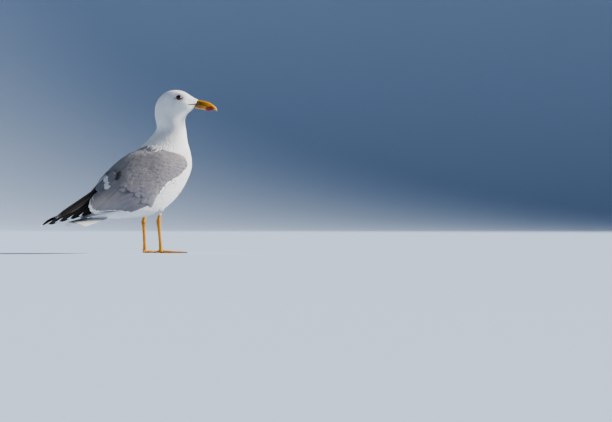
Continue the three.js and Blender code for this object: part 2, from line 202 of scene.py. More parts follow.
def curve_at(points, t):
    """A centripetal curve through points, at shares t of the way from the first to the last."""
    points = np.asarray(points, float)
    ends = 2 * points[0] - points[1], 2 * points[-1] - points[-2]
    knots = np.vstack([ends[0], points, ends[1]])
    along = np.clip(t, 0, 1) * (len(points) - 1)
    i = np.minimum(along.astype(int), len(points) - 2)
    w = (along - i)[..., None]
    p = [knots[i + k] for k in range(4)]
    d = [np.sqrt(np.linalg.norm(p[k + 1] - p[k], axis=-1, keepdims=True)) for k in range(3)]
    start = ((p[1] - p[0]) / d[0] - (p[2] - p[0]) / (d[0] + d[1]) + (p[2] - p[1]) / d[1]) * d[1]
    end = ((p[2] - p[1]) / d[1] - (p[3] - p[1]) / (d[1] + d[2]) + (p[3] - p[2]) / d[2]) * d[1]
    square = -3 * p[1] + 3 * p[2] - 2 * start - end
    cube = 2 * p[1] - 2 * p[2] + start + end
    return p[1] + start * w + square * w**2 + cube * w**3


def value_over(points):
    """A smooth curve through (x, value) points, whose x falls, as a function of x."""
    drawn = curve_at(points, np.linspace(0, 1, 400))[::-1]
    return lambda x: np.interp(x, drawn[:, 0], drawn[:, 1])


# ---- the body's surface ----
def turn_head(points):
    """Turns points about the neck's upright axis, by more the higher they are."""
    share = smooth(points[..., 2], TURN_FROM_Z, TURN_DONE_Z)
    angle = -HEAD_TURN * share
    x, y = points[..., 0] - NECK_X, points[..., 1]
    turned = points.copy()
    turned[..., 0] = NECK_X + x * np.cos(angle) - y * np.sin(angle)
    turned[..., 1] = x * np.sin(angle) + y * np.cos(angle)
    return turned


def head_relief(p):
    """How far the brow, the eye's hollow, the lores and the cheek stand out of the head's plain form."""
    x, z = p[..., 0], p[..., 2]
    side = smooth(np.abs(p[..., 1]), 4, 13)
    hollow = -1.1 * np.exp(-(((x - EYE[0]) / 8.5) ** 2) - ((z - EYE[2]) / 7.5) ** 2)
    brow = 1.2 * bump(x, 69, 13) * bump(z, 342.5 - 0.12 * (x - 69), 3.6)
    lores = -1.7 * bump(x, 86, 8) * bump(z, 327, 5)
    cheek = 1.1 * bump(x, 55, 15) * bump(z, 314, 9)
    below_gape = 0.7 * bump(x, 82, 9) * bump(z, 312, 5)
    return side * (hollow + brow + lores + cheek + below_gape)


def body_at(t, around, swell=0.0):
    """The body's surface with the head straight.

    t runs from the bill (0) to the tail (1), and around is the turn from the back over the left side.
    """
    back = curve_at(BODY_SECTIONS[:, BACK], t)
    front = curve_at(BODY_SECTIONS[:, FRONT], t)
    steps = np.stack([np.arange(LAST_SECTION + 1) * SECTION_STEP, BODY_SECTIONS[:, HALF_WIDTH]], 1)
    half = curve_at(steps, t)[..., 1] + swell
    middle = (back + front) / 2
    up = back - middle
    up = up * (1 + swell / np.linalg.norm(up, axis=-1))[..., None]
    point = np.zeros(np.shape(t) + (3,))
    point[..., 0] = middle[..., 0] + up[..., 0] * np.cos(around)
    point[..., 1] = half * np.sin(around)
    point[..., 2] = middle[..., 1] + up[..., 1] * np.cos(around)
    outward = unit(point - np.stack([middle[..., 0], 0 * half, middle[..., 1]], -1))
    return point + outward * head_relief(point)[..., None]


def section_value(t, column):
    """A column of the sections, between them as well."""
    return np.interp(np.asarray(t) * LAST_SECTION, np.arange(LAST_SECTION + 1), BODY_SECTIONS[:, column])


def skin_at(t, around):
    """The skin lies inside the bird's outline by the coat's depth."""
    return turn_head(straight_skin_at(t, around))


def straight_skin_at(t, around):
    """The skin before the head is turned."""
    return body_at(t, around, -section_value(t, COAT_DEPTH))


def square_to(way, hint):
    """The direction square to way that is nearest to a hint."""
    way = unit(way)
    return unit(hint - way * dot(way, np.asarray(hint, float)))


def surface_frames(surface, u, v, step_u=1e-3, step_v=1e-3):
    """Places, ways of growth (along u) and outward normals of a surface."""
    place = surface(u, v)
    along = unit(surface(u + step_u, v) - surface(u - step_u, v))
    across = unit(surface(u, v + step_v) - surface(u, v - step_v))
    return place, along, unit(np.cross(across, along))


def straight_head():
    """The head's and neck's skin before it is turned, to measure on."""
    rows, columns = 240, 181
    grid = np.meshgrid(np.linspace(0, 0.5, rows), np.linspace(0, 2 * np.pi, columns), indexing="ij")
    points = straight_skin_at(*grid)
    faces = grid_faces(rows, columns, closed=False)
    return BVHTree.FromPolygons([Vector(p) for p in points.reshape(-1, 3)], faces)


def head_side(x, z):
    """The place on the head's left side at x and z, and the normal there."""
    beside = 90.0
    spot, normal, _, _ = HEAD.ray_cast(Vector((x, beside, z)), Vector((0, -1, 0)))
    if spot is None:
        raise RuntimeError("nothing of the head at %s, %s" % (x, z))
    normal = np.array(normal)
    return np.array(spot), normal * np.sign(normal[1])


def eye_axes(side):
    """The eye's own directions: forward along the head, out of it, and up, square to the skin round it."""
    around = ((9, 0), (-9, 0), (0, 8), (0, -8))
    before, behind, above, below = (head_side(EYE[0] + x, EYE[2] + z)[0] for x, z in around)
    forward = unit(before - behind)
    out = unit(np.cross(above - below, forward))
    out = out * np.sign(out[1])
    up = unit(np.cross(forward, out))
    up = up * np.sign(up[2])
    mirror = np.array([1.0, side, 1.0])
    return forward * mirror, out * mirror, up * mirror


def eye_flat(straight):
    """Places by the eye as distances forward and upward of it, along the head's side."""
    forward, _, up = eye_axes(1.0)
    from_middle = straight * (1, 0, 1) + (0, 1, 0) * np.abs(straight) - EYE
    return from_middle @ forward, from_middle @ up


# ---- colours of the plumage ----
def linear(red, green, blue):
    """A colour of sRGB bytes as linear light."""
    c = np.array([red, green, blue]) / 255
    return np.where(c <= 0.04045, c / 12.92, ((c + 0.055) / 1.055) ** 2.4)


def plumage(colour):
    """A colour of the plumage, as it is set in the panel."""
    return np.array(getattr(bpy.context.scene.gull_plumage, colour))


# Each group of feathers has draws of its own, by how far its seed lies past the one in the panel.
SEEDS = {
    "coat": 0,
    "thighs": 15,
    "flanks": 16,
    "wing edges": 18,
    "wings": 20,
    "saddle": 30,
    "tips": 40,
    "tail": 60,
}


def draws(group, number=0):
    """The random draws of a group of feathers."""
    return np.random.default_rng(bpy.context.scene.gull_plumage.seed + SEEDS[group] + number)


# By the place along the bird: how high the white of the neck ends, and how low the mantle's grey reaches.
NAPE_EDGE = ((-60, -36, -19, -4, 34, 60), (275, 250, 233, 223, 216, 212))
MIDDLE_OF_WING = ((-206, -100, -20, 60), (88, 132, 176, 190))


def plumage_tint(p):
    """The body plumage's colour at points of the bird's frame: white, and grey on the mantle."""
    x, z = p[..., 0], p[..., 2]
    edge = np.interp(x, *NAPE_EDGE)
    mantle = smooth(edge - z, -1.5, 3.5) * smooth(z - np.interp(x, *MIDDLE_OF_WING), -4, 4)
    mantle = mantle * smooth(x, 56, 46) * smooth(x, -150, -136)
    return mix(plumage("white"), plumage("grey"), mantle[..., None])


# ---- meshes ----
def new_object(name, mesh):
    made = bpy.data.objects.new(name, mesh)
    bpy.context.scene.collection.objects.link(made)
    return made


def drop(obj):
    """Removes an object and the mesh that only it used."""
    data = obj.data
    bpy.data.objects.remove(obj)
    if data and not data.users:
        bpy.data.meshes.remove(data)


def mesh_of(name, points, faces):
    """A smooth mesh of points of the frame."""
    mesh = bpy.data.meshes.new(name)
    mesh.from_pydata([tuple(p) for p in points], [], faces)
    smoothed(mesh)
    return mesh


def smoothed(mesh):
    mesh.polygons.foreach_set("use_smooth", [True] * len(mesh.polygons))
    mesh.update()


def set_attribute(mesh, name, values, kind="FLOAT"):
    """Gives each vertex its value of a named attribute. Colours may come without their alpha."""
    values = np.asarray(values, np.float32)
    key = {"FLOAT": "value", "FLOAT_VECTOR": "vector", "FLOAT_COLOR": "color"}[kind]
    if kind == "FLOAT_COLOR" and values.shape[-1] == 3:
        values = np.concatenate([values, np.ones(values.shape[:-1] + (1,), np.float32)], -1)
    attribute = mesh.attributes.get(name) or mesh.attributes.new(name, kind, "POINT")
    attribute.data.foreach_set(key, values.ravel())


def set_tint(mesh, tint, bare):
    """The colour of each vertex of the skin, and how bare of feathers it is."""
    count = len(mesh.vertices)
    set_attribute(mesh, "tint", np.broadcast_to(tint, (count, 3)), "FLOAT_COLOR")
    set_attribute(mesh, "bare", np.broadcast_to(bare, count))


def of_vertices(mesh, key):
    """The place (co) or the normal of each vertex."""
    values = np.zeros(len(mesh.vertices) * 3, np.float32)
    mesh.vertices.foreach_get(key, values)
    return values.reshape(-1, 3).astype(float)


def set_map(mesh, name, places):
    """Gives each corner of the faces its vertex's place on a named UV map."""
    corners = np.zeros(len(mesh.loops), np.int32)
    mesh.loops.foreach_get("vertex_index", corners)
    layer = mesh.uv_layers.new(name=name)
    layer.data.foreach_set("uv", places[corners].astype(np.float32).ravel())


def grid_faces(rows, columns, closed=True, first=0):
    """Quads of a grid of points, row by row. Closed grids join their last column to their first."""
    faces = []
    for i in range(rows - 1):
        for j in range(columns if closed else columns - 1):
            a = first + i * columns + j
            b = first + i * columns + (j + 1) % columns
            faces.append((a, b, b + columns, a + columns))
    return faces


HEAD = straight_head()


def hidden_object(name, points, faces):
    """A mesh that only other pieces are laid on."""
    made = new_object(name, mesh_of(name, to_frame(points), faces))
    made.hide_render = True
    return made


def closed_tube(rings):
    """Points and outward faces of rings joined into a tube with closed ends."""
    rows, columns = rings.shape[:2]
    points = np.vstack([rings.reshape(-1, 3), rings[0].mean(0), rings[-1].mean(0)])
    faces = grid_faces(rows, columns)
    last = (rows - 1) * columns
    for j in range(columns):
        k = (j + 1) % columns
        faces.append((rows * columns, k, j))
        faces.append((rows * columns + 1, last + j, last + k))
    return points, faces


def mend(mesh):
    """Merges doubles and turns all faces outwards."""
    work = bmesh.new()
    work.from_mesh(mesh)
    bmesh.ops.remove_doubles(work, verts=work.verts, dist=DOUBLES)
    bmesh.ops.recalc_face_normals(work, faces=work.faces)
    work.to_mesh(mesh)
    work.free()
    mesh.update()


def evaluated_mesh(obj):
    """A plain mesh of an object with its modifiers."""
    graph = bpy.context.evaluated_depsgraph_get()
    return bpy.data.meshes.new_from_object(
        obj.evaluated_get(graph), preserve_all_data_layers=True, depsgraph=graph
    )


def joined(name, objects):
    """One object of several, with the attributes of all."""
    with bpy.context.temp_override(
        active_object=objects[0], selected_editable_objects=objects, selected_objects=objects
    ):
        bpy.ops.object.join()
    objects[0].name = name
    objects[0].data.name = name
    return objects[0]


def surface_tree(obj):
    """What finds the nearest spot on a mesh."""
    return BVHTree.FromPolygons([v.co for v in obj.data.vertices], [p.vertices for p in obj.data.polygons])


def finished(obj, slot, *nodes):
    """Lets a piece ride on the body and hides the frame's nodes that it stands for. slot is not used."""
    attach(obj, BODY)
    if nodes:
        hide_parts(*nodes)
    return obj


# ---- node helpers ----
class Wiring:
    """Adds nodes to a tree and links them by their sockets' names."""

    def __init__(self, tree):
        self.tree = tree

    def add(self, kind, inputs=None, **settings):
        node = self.tree.nodes.new(kind)
        for key, value in settings.items():
            setattr(node, key, value)
        for key, value in (inputs or {}).items():
            self.feed(node, key, value)
        return node

    def feed(self, node, key, value):
        socket = node.inputs[key]
        if isinstance(value, bpy.types.NodeSocket):
            self.tree.links.new(value, socket)
        elif value is not None:
            socket.default_value = value

    def math(self, operation, *values):
        node = self.add("ShaderNodeMath", operation=operation)
        for i, value in enumerate(values):
            self.feed(node, i, value)
        return node.outputs[0]

    def vector(self, operation, *values):
        node = self.add("ShaderNodeVectorMath", operation=operation)
        for i, value in enumerate(values):
            self.feed(node, i, value)
        return node.outputs["Value" if operation == "DOT_PRODUCT" else "Vector"]

    def scaled(self, vector, factor):
        node = self.add("ShaderNodeVectorMath", operation="SCALE")
        self.feed(node, 0, vector)
        self.feed(node, "Scale", factor)
        return node.outputs["Vector"]

    def mixed(self, share, first, second, blend="MIX"):
        node = self.add("ShaderNodeMix", data_type="RGBA", blend_type=blend)
        for key, value in ((0, share), (6, first), (7, second)):
            self.feed(node, key, value)
        return node.outputs[2]

    def ranged(self, value, low, high, new_low=0.0, new_high=1.0):
        """A value's way from low to high, softened, as a way from new_low to new_high."""
        node = self.add("ShaderNodeMapRange", interpolation_type="SMOOTHSTEP")
        for i, given in enumerate((value, low, high, new_low, new_high)):
            self.feed(node, i, given)
        return node.outputs[0]

    def grey(self, value):
        return self.add("ShaderNodeCombineXYZ", {0: value, 1: value, 2: value}).outputs[0]

    def carried(self, name, output="Fac"):
        """What the vertices carry under a name."""
        return self.add("ShaderNodeAttribute", attribute_name=name).outputs[output]

    def object_place(self):
        return self.add("ShaderNodeTexCoord").outputs["Object"]

    def noise(self, place, scale, detail):
        inputs = {"Vector": place, "Scale": scale, "Detail": detail}
        return self.add("ShaderNodeTexNoise", inputs).outputs["Fac"]

    def relief(self, shader, height, strength, distance):
        """Gives a shader a relief, distance metres deep."""
        bumped = self.add("ShaderNodeBump", {"Strength": strength, "Distance": distance, "Height": height})
        self.feed(shader, "Normal", bumped.outputs[0])


def sockets(tree, direction, *items):
    """Adds named sockets to a tree's interface, each (name, kind) or (name, kind, default)."""
    for name, kind, *default in items:
        socket = tree.interface.new_socket(name, in_out=direction, socket_type="NodeSocket" + kind)
        if default:
            socket.default_value = default[0]


SUPPORT_REACH = 0.02  # how far off its support, in metres, a feather is still laid on it
# The side of a feather's patch of the map: small feathers, long wing feathers, tail and wing tips.
TUFT_PATCH, QUILL_PATCH, TAIL_PATCH, TIP_PATCH = 0.003, 0.02, 0.06, 0.12


def feather_tree():
    """Geometry nodes that grow a feather at each point, lay it on a support and give it its patch of map."""
    tree = bpy.data.node_groups.new("feather_coat", "GeometryNodeTree")
    sockets(
        tree,
        "INPUT",
        ("Roots", "Geometry"),
        ("Feather", "Object"),
        ("Support", "Object"),
        ("Reach", "Float", SUPPORT_REACH),
        ("Hug", "Float", 1.0),
        ("Patch", "Float", TUFT_PATCH),
        ("Finish", "Material"),
    )
    sockets(tree, "OUTPUT", ("Coat", "Geometry"))
    w = Wiring(tree)
    given = w.add("NodeGroupInput").outputs

    def named(name, kind):
        return w.add("GeometryNodeInputNamedAttribute", {"Name": name}, data_type=kind).outputs["Attribute"]

    feather = w.add("GeometryNodeObjectInfo", {"Object": given["Feather"]}).outputs["Geometry"]
    support = w.add("GeometryNodeObjectInfo", {"Object": given["Support"]}).outputs["Geometry"]
    grown = w.add(
        "GeometryNodeInstanceOnPoints",
        {
            "Points": given["Roots"],
            "Instance": feather,
            "Rotation": named("lie", "FLOAT_VECTOR"),
            "Scale": named("size", "FLOAT_VECTOR"),
        },
    )
    real = w.add("GeometryNodeRealizeInstances", {"Geometry": grown.outputs["Instances"]})
    root, up = named("root_place", "FLOAT_VECTOR"), named("root_up", "FLOAT_VECTOR")
    place = w.add("GeometryNodeInputPosition").outputs[0]
    height = w.vector("DOT_PRODUCT", w.vector("SUBTRACT", place, root), up)
    foot = w.vector("SUBTRACT", place, w.scaled(up, height))
    ray = w.add(
        "GeometryNodeRaycast",
        {
            "Target Geometry": support,
            "Source Position": w.vector("ADD", foot, w.scaled(up, given["Reach"])),
            "Ray Direction": w.scaled(up, -1.0),
            "Ray Length": w.math("MULTIPLY", given["Reach"], 2.0),
        },
    )
    laid = w.vector("ADD", ray.outputs["Hit Position"], w.scaled(up, height))
    hug = w.math("MULTIPLY", ray.outputs["Is Hit"], given["Hug"])
    mover = w.add("ShaderNodeMix", {0: hug, 4: place, 5: laid}, data_type="VECTOR")
    moved = w.add("GeometryNodeSetPosition", {"Geometry": real.outputs[0], "Position": mover.outputs[1]})
    within = w.scaled(w.vector("SUBTRACT", named("vane", "FLOAT_VECTOR"), (0.5, 0.5, 0.0)), given["Patch"])
    mapped = w.add(
        "GeometryNodeStoreNamedAttribute",
        {
            "Geometry": moved.outputs[0],
            "Name": "OFBake",
            "Value": w.vector("ADD", named("root_uv", "FLOAT_VECTOR"), within),
        },
        data_type="FLOAT2",
        domain="CORNER",
    )
    done = w.add("GeometryNodeSetMaterial", {"Geometry": mapped.outputs[0], "Material": given["Finish"]})
    w.add("NodeGroupOutput", {"Coat": done.outputs[0]})
    return tree


# ---- single feathers ----
SHARP = 0.2  # an edge is sharp where the cosine between its faces is below this


def feather_form(name, across, along, outline, tip, camber, ragged, rachis, bend):
    """One closed feather, a unit long and wide, growing along +X with its upper side to +Z.

    outline(v) is its width a share v of the way along. tip(u) is how far it reaches at u, which runs from one
    edge (-1) to the other (1).
    """
    u = np.linspace(-1, 1, across)
    v = np.linspace(0, 1, along) ** 0.85
    grid_v, grid_u = np.meshgrid(v, u, indexing="ij")
    reach = tip(grid_u) - ragged * grid_v**3 * (np.arange(across) % 2)[None, :]
    x = grid_v * reach
    y = 0.5 * grid_u * outline(grid_v) + bend * x**2
    z = camber * (1 - grid_u**2) * (1 - 0.75 * grid_v**2) * np.minimum(1, 6 * grid_v)
    z += rachis * np.exp(-((grid_u / 0.12) ** 2)) * (1 - grid_v) * np.minimum(1, 8 * grid_v)
    points = np.stack([x, y, z], -1).reshape(-1, 3)
    faces = [face[::-1] for face in grid_faces(along, across, closed=False)]
    for i in range(along - 1):
        left, right = i * across, i * across + across - 1
        faces.append((left, right, right + across, left + across))
    last = (along - 1) * across
    faces.append(tuple(range(across - 1, -1, -1)))
    faces.append(tuple(range(last, last + across)))
    mesh = mesh_of(name, points, faces)
    vane = mesh.uv_layers.new(name="vane")
    place = np.stack([(grid_u + 1) / 2, grid_v], -1).reshape(-1, 2)
    corners = np.array([loop.vertex_index for loop in mesh.loops])
    vane.data.foreach_set("uv", place[corners].astype(np.float32).ravel())
    mend(mesh)
    touching = {}
    for polygon in mesh.polygons:
        for key in polygon.edge_keys:
            touching.setdefault(key, []).append(polygon.normal)
    faces_of = [touching[edge.key] for edge in mesh.edges]
    sharp = mesh.attributes.new("sharp_edge", "BOOLEAN", "EDGE")
    sharp.data.foreach_set("value", [len(near) == 2 and near[0].dot(near[1]) < SHARP for near in faces_of])
    new_object(name, mesh).hide_render = True


def soft_outline(v):
    return 0.42 + 0.58 * smooth(v, 0, 0.45)


def soft_tip(u):
    return 1 - 0.34 * np.abs(u) ** 2.2


def broad_outline(v):
    return (0.5 + 0.5 * smooth(v, 0, 0.35)) * np.sqrt(1 - 0.92 * smooth(v, 0.72, 1.02) ** 2)


def broad_tip(u):
    return 1 - 0.05 * np.abs(u) ** 2


def long_outline(v):
    return (0.45 + 0.55 * smooth(v, 0, 0.3)) * np.sqrt(1 - 0.95 * smooth(v, 0.8, 1.03) ** 2)


def square_outline(v):
    return (0.5 + 0.5 * smooth(v, 0, 0.3)) * np.sqrt(1 - 0.9 * smooth(v, 0.93, 1.01) ** 2)


def pointed_outline(v):
    return (0.5 + 0.5 * smooth(v, 0, 0.25)) * (1 - 0.25 * v) * np.sqrt(1 - 0.96 * smooth(v, 0.84, 1.02) ** 2)


# The few shapes that all feathers are copies of: points across and along, outline, end, camber, how
# deeply the end is notched, the shaft's height and the bend.
FEATHERS = {
    "face_tuft": (5, 4, soft_outline, soft_tip, 0.09, 0.13, 0.0, 0.0),
    "soft_tuft": (8, 5, soft_outline, soft_tip, 0.07, 0.09, 0.0, 0.0),
    "covert": (9, 9, broad_outline, broad_tip, 0.12, 0.012, 0.02, 0.0),
    "quill": (11, 22, long_outline, broad_tip, 0.10, 0.0, 0.05, 0.0),
    "rectrix": (9, 22, square_outline, broad_tip, 0.02, 0.0, 0.03, 0.0),
    "primary": (11, 28, pointed_outline, broad_tip, 0.12, 0.0, 0.08, 0.02),
}


def build_feather_kinds():
    for name, form in FEATHERS.items():
        feather_form(name, *form)


class Roots:
    """Where feathers grow and how, gathered group by group, in the bird's millimetres.

    way is the way of growth and up the outward one. above is the root's height over what the feather is laid
    on, lift how far its end rises, and roll its turn about its shaft. uv is the middle of its patch of map.
    """

    # How many numbers each field has.
    FIELDS = {"place": 3, "way": 3, "up": 3, "above": 1, "length": 1, "width": 1, "lift": 1, "roll": 1}
    FIELDS |= {"tint": 3, "pale_tip": 1, "pale_edge": 1, "uv": 2}

    def __init__(self):
        self.parts = {field: [] for field in self.FIELDS}

    def add(self, **given):
        """Adds a group. What isn't given is 0."""
        count = len(given["place"])
        for field, width in self.FIELDS.items():
            value = np.asarray(given.get(field, np.zeros(width)), float)
            self.parts[field].append(np.broadcast_to(value.reshape(-1, width), (count, width)))

    def add_free(self, start, way, facing, **looks):
        """Adds a group whose feathers run straight from their roots to their ends."""
        length = np.linalg.norm(way, axis=1)
        self.add(place=start, way=way, up=square_to(way, facing), length=length, **looks)

    def all(self, field):
        return np.concatenate(self.parts[field])

    def object(self, name):
        """The roots as a mesh of loose points, which carries what the feather tree reads."""
        place, up = to_frame(self.all("place")), unit(self.all("up"))
        way = unit(self.all("way") - up * dot(self.all("way"), up))
        length, width, lift = self.all("length"), self.all("width"), self.all("lift")
        rise = np.clip(lift / np.maximum(length, 1e-6), -0.6, 0.9)
        x_axis = unit(way * np.sqrt(1 - rise**2) + up * rise)
        side = np.cross(up, way)
        roll = self.all("roll")
        y_axis = unit(side * np.cos(roll) + up * np.sin(roll))
        z_axis = unit(np.cross(x_axis, y_axis))
        y_axis = np.cross(z_axis, x_axis)
        lie = np.stack(
            [
                np.arctan2(y_axis[:, 2], z_axis[:, 2]),
                -np.arcsin(np.clip(x_axis[:, 2], -1, 1)),
                np.arctan2(x_axis[:, 1], x_axis[:, 0]),
            ],
            1,
        )
        mesh = mesh_of(name, to_frame(self.all("place") + up * self.all("above")), [])
        size = np.concatenate([length, width, np.minimum(width, 0.5 * length)], 1) / 1000
        vectors = {"root_place": place, "root_up": up, "lie": lie, "size": size}
        vectors["root_uv"] = np.concatenate([self.all("uv"), 0 * length], 1)
        for key, values in vectors.items():
            set_attribute(mesh, key, values, "FLOAT_VECTOR")
        set_attribute(mesh, "tint", self.all("tint"), "FLOAT_COLOR")
        set_attribute(mesh, "pale_tip", self.all("pale_tip"))
        set_attribute(mesh, "pale_edge", self.all("pale_edge"))
        return new_object(name, mesh)


def grow(name, roots, kind, support, look, hug=1.0, patch=TUFT_PATCH):
    """A plain mesh of all the feathers of a kind and a finish that grow at the roots.

    With hug 1 they are laid on the support, and with 0 they stay as they grow.
    """
    if not len(roots.all("place")):
        raise RuntimeError(name + " has no feathers")
    seeds = roots.object(name + "_roots")
    tree = bpy.data.node_groups.get("feather_coat") or feather_tree()
    modifier = seeds.modifiers.new("coat", "NODES")
    modifier.node_group = tree
    chosen = {
        "Feather": bpy.data.objects[kind],
        "Support": support,
        "Reach": SUPPORT_REACH,
        "Hug": hug,
        "Patch": patch,
        "Finish": finish(look),
    }
    for item in tree.interface.items_tree:
        if item.in_out == "INPUT" and item.name in chosen:
            modifier[item.identifier] = chosen[item.name]
    mesh = evaluated_mesh(seeds)
    seeds.modifiers.remove(modifier)
    drop(seeds)
    for spare in ("root_place", "root_up", "root_uv", "lie", "size"):
        if spare in mesh.attributes:
            mesh.attributes.remove(mesh.attributes[spare])
    mesh.name = name
    return new_object(name, mesh)


# ---- finishes ----
FULL_TURN = 6.283  # in radians
STREAK = (0.32, 0.13, 0.01, 1)  # darker streaks of the bill's horn
# Painted shade: the nostril's hollow is drawn dark rather than cut deep.
NOSTRIL_SHADE = (0.015, 0.01, 0.008, 1)  # the inside of the nostrils
PUPIL = 3.3  # its radius
PUPIL_BLACK = (0.004, 0.004, 0.004, 1)
EYE_RIM = (0.02, 0.012, 0.008, 1)
CLAW_DARK, CLAW_PALE = (0.012, 0.009, 0.007, 1), (0.05, 0.035, 0.025, 1)


def material(name, roughness, coat=0.0, sheen=0.0, specular=0.5):
    """A material with its wiring and its Principled shader, whose plain numbers are set on its sockets."""
    made = bpy.data.materials.new(name)
    made.use_nodes = True
    w = Wiring(made.node_tree)
    shader = made.node_tree.nodes["Principled BSDF"]
    shader.inputs["Roughness"].default_value = roughness
    shader.inputs["Coat Weight"].default_value = coat
    shader.inputs["Coat Roughness"].default_value = 0.08
    shader.inputs["Sheen Weight"].default_value = sheen
    shader.inputs["Sheen Roughness"].default_value = 0.6
    shader.inputs["Specular IOR Level"].default_value = specular
    return made, w, shader


def barbs_group():
    """Feather detail: a tint varied by barbs, with pale tip, pale edge and a fine relief."""
    found = bpy.data.node_groups.get("feather_barbs")
    if found:
        return found
    tree = bpy.data.node_groups.new("feather_barbs", "ShaderNodeTree")
    sockets(
        tree,
        "INPUT",
        ("Tint", "Color"),
        ("Pale", "Color"),
        ("Pale tip", "Float", 0.0),
        ("Pale edge", "Float", 0.0),
        ("Tip length", "Float", 0.1),
        ("Barbs", "Float", 26.0),
        ("Depth", "Float", 0.12),
    )
    sockets(tree, "OUTPUT", ("Colour", "Color"), ("Height", "Float"))
    w = Wiring(tree)
    given = w.add("NodeGroupInput").outputs
    split = w.add("ShaderNodeSeparateXYZ", {0: w.add("ShaderNodeUVMap", uv_map="vane").outputs[0]})
    across = w.math("ABSOLUTE", w.math("SUBTRACT", split.outputs[0], 0.5))
    along = split.outputs[1]
    place = w.object_place()
    wander = w.noise(place, 260.0, 2.0)
    slanted = w.math("ADD", w.math("SUBTRACT", along, across), w.math("MULTIPLY", wander, 0.12))
    wave = w.math("SINE", w.math("MULTIPLY", w.math("MULTIPLY", slanted, given["Barbs"]), FULL_TURN))
    barb = w.math("ADD", w.math("MULTIPLY", wave, 0.5), 0.5)
    shaft = w.ranged(across, 0.0, 0.035, 1.0, 0.0)
    shade = w.math("SUBTRACT", 1.0, w.math("MULTIPLY", barb, given["Depth"]))
    shade = w.math("MULTIPLY", shade, w.ranged(w.noise(place, 38.0, 3.0), 0.3, 0.7, 0.94, 1.04))
    shade = w.math("MULTIPLY", shade, w.ranged(along, 0.0, 0.55, 0.86, 1.0))
    tinted = w.vector("MULTIPLY", given["Tint"], w.grey(shade))
    start = w.math("SUBTRACT", 1.0, given["Tip length"])
    curved = w.math("SUBTRACT", along, w.math("MULTIPLY", w.math("MULTIPLY", across, across), -0.25))
    at_tip = w.ranged(curved, start, w.math("ADD", start, 0.03))
    edge = w.math("MAXIMUM", w.ranged(across, 0.40, 0.5), w.ranged(along, 0.90, 1.0))
    pale_tip = w.math("MULTIPLY", at_tip, given["Pale tip"])
    pale = w.math("MAXIMUM", pale_tip, w.math("MULTIPLY", edge, given["Pale edge"]))
    w.add(
        "NodeGroupOutput",
        {
            "Colour": w.mixed(pale, tinted, given["Pale"]),
            "Height": w.math("ADD", w.math("MULTIPLY", barb, 0.5), shaft),
        },
    )
    return tree


def feather_finish(name):
    """The finish of a kind of feather. Its tint comes with each feather."""
    roughness, sheen, barbs, depth, relief, tip_length = FEATHER_FINISHES[name]
    made, w, shader = material(name, roughness, sheen=sheen, specular=0.2)
    settings = {
        "Tint": w.carried("tint", "Color"),
        "Pale": (*bpy.context.scene.gull_plumage.white, 1.0),
        "Pale tip": w.carried("pale_tip"),
        "Pale edge": w.carried("pale_edge"),
        "Tip length": tip_length,
        "Barbs": barbs,
        "Depth": depth,
    }
    detail = w.add("ShaderNodeGroup", node_tree=barbs_group())
    for key, value in settings.items():
        w.feed(detail, key, value)
    w.feed(shader, "Base Color", detail.outputs["Colour"])
    w.relief(shader, detail.outputs["Height"], relief, 0.0004)
    return made


# Roughness, sheen, how many barbs along the vane, how dark and how high they are, and the pale tip's length.
FEATHER_FINISHES = {
    "body_feathers": (0.82, 0.25, 9.0, 0.05, 0.25, 0.1),
    "coverts": (0.78, 0.12, 38.0, 0.08, 0.3, 0.07),
    "quills": (0.7, 0.1, 95.0, 0.12, 0.3, 0.07),
    "flight_feathers": (0.72, 0.0, 60.0, 0.16, 0.4, 0.045),
}


def finish(name):
    """A finish by name, made the first time it is asked for."""
    return bpy.data.materials.get(name) or FINISHES.get(name, feather_finish)(name)


def skin_finish(name):
    """Bare skin: feathered parts take their plumage's tint, legs are scaly and orange-yellow."""
    made, w, shader = material(name, 0.5, specular=0.45)
    place = w.object_place()
    bare, tint = w.carried("bare"), w.carried("tint", "Color")
    scales = w.add("ShaderNodeTexVoronoi", {"Vector": place, "Scale": 720.0}, feature="DISTANCE_TO_EDGE")
    seam = w.ranged(scales.outputs["Distance"], 0.0, 0.14)
    soil = w.noise(place, 130.0, 5.0)
    mottle = w.ranged(soil, 0.3, 0.75, 0.78, 1.1)
    shade = w.math("MULTIPLY", mottle, w.math("ADD", w.math("MULTIPLY", seam, 0.3), 0.7))
    shade = w.add("ShaderNodeMix", {0: bare, 2: 1.0, 3: shade}, data_type="FLOAT").outputs[0]
    w.feed(shader, "Base Color", w.vector("MULTIPLY", tint, w.grey(shade)))
    smoothed_by = w.math("ADD", soil, w.math("MULTIPLY", bare, -0.2))
    w.feed(shader, "Roughness", w.ranged(smoothed_by, 0.0, 1.0, 0.42, 0.85))
    w.relief(shader, w.math("MULTIPLY", seam, bare), 0.7, 0.0003)
    return made


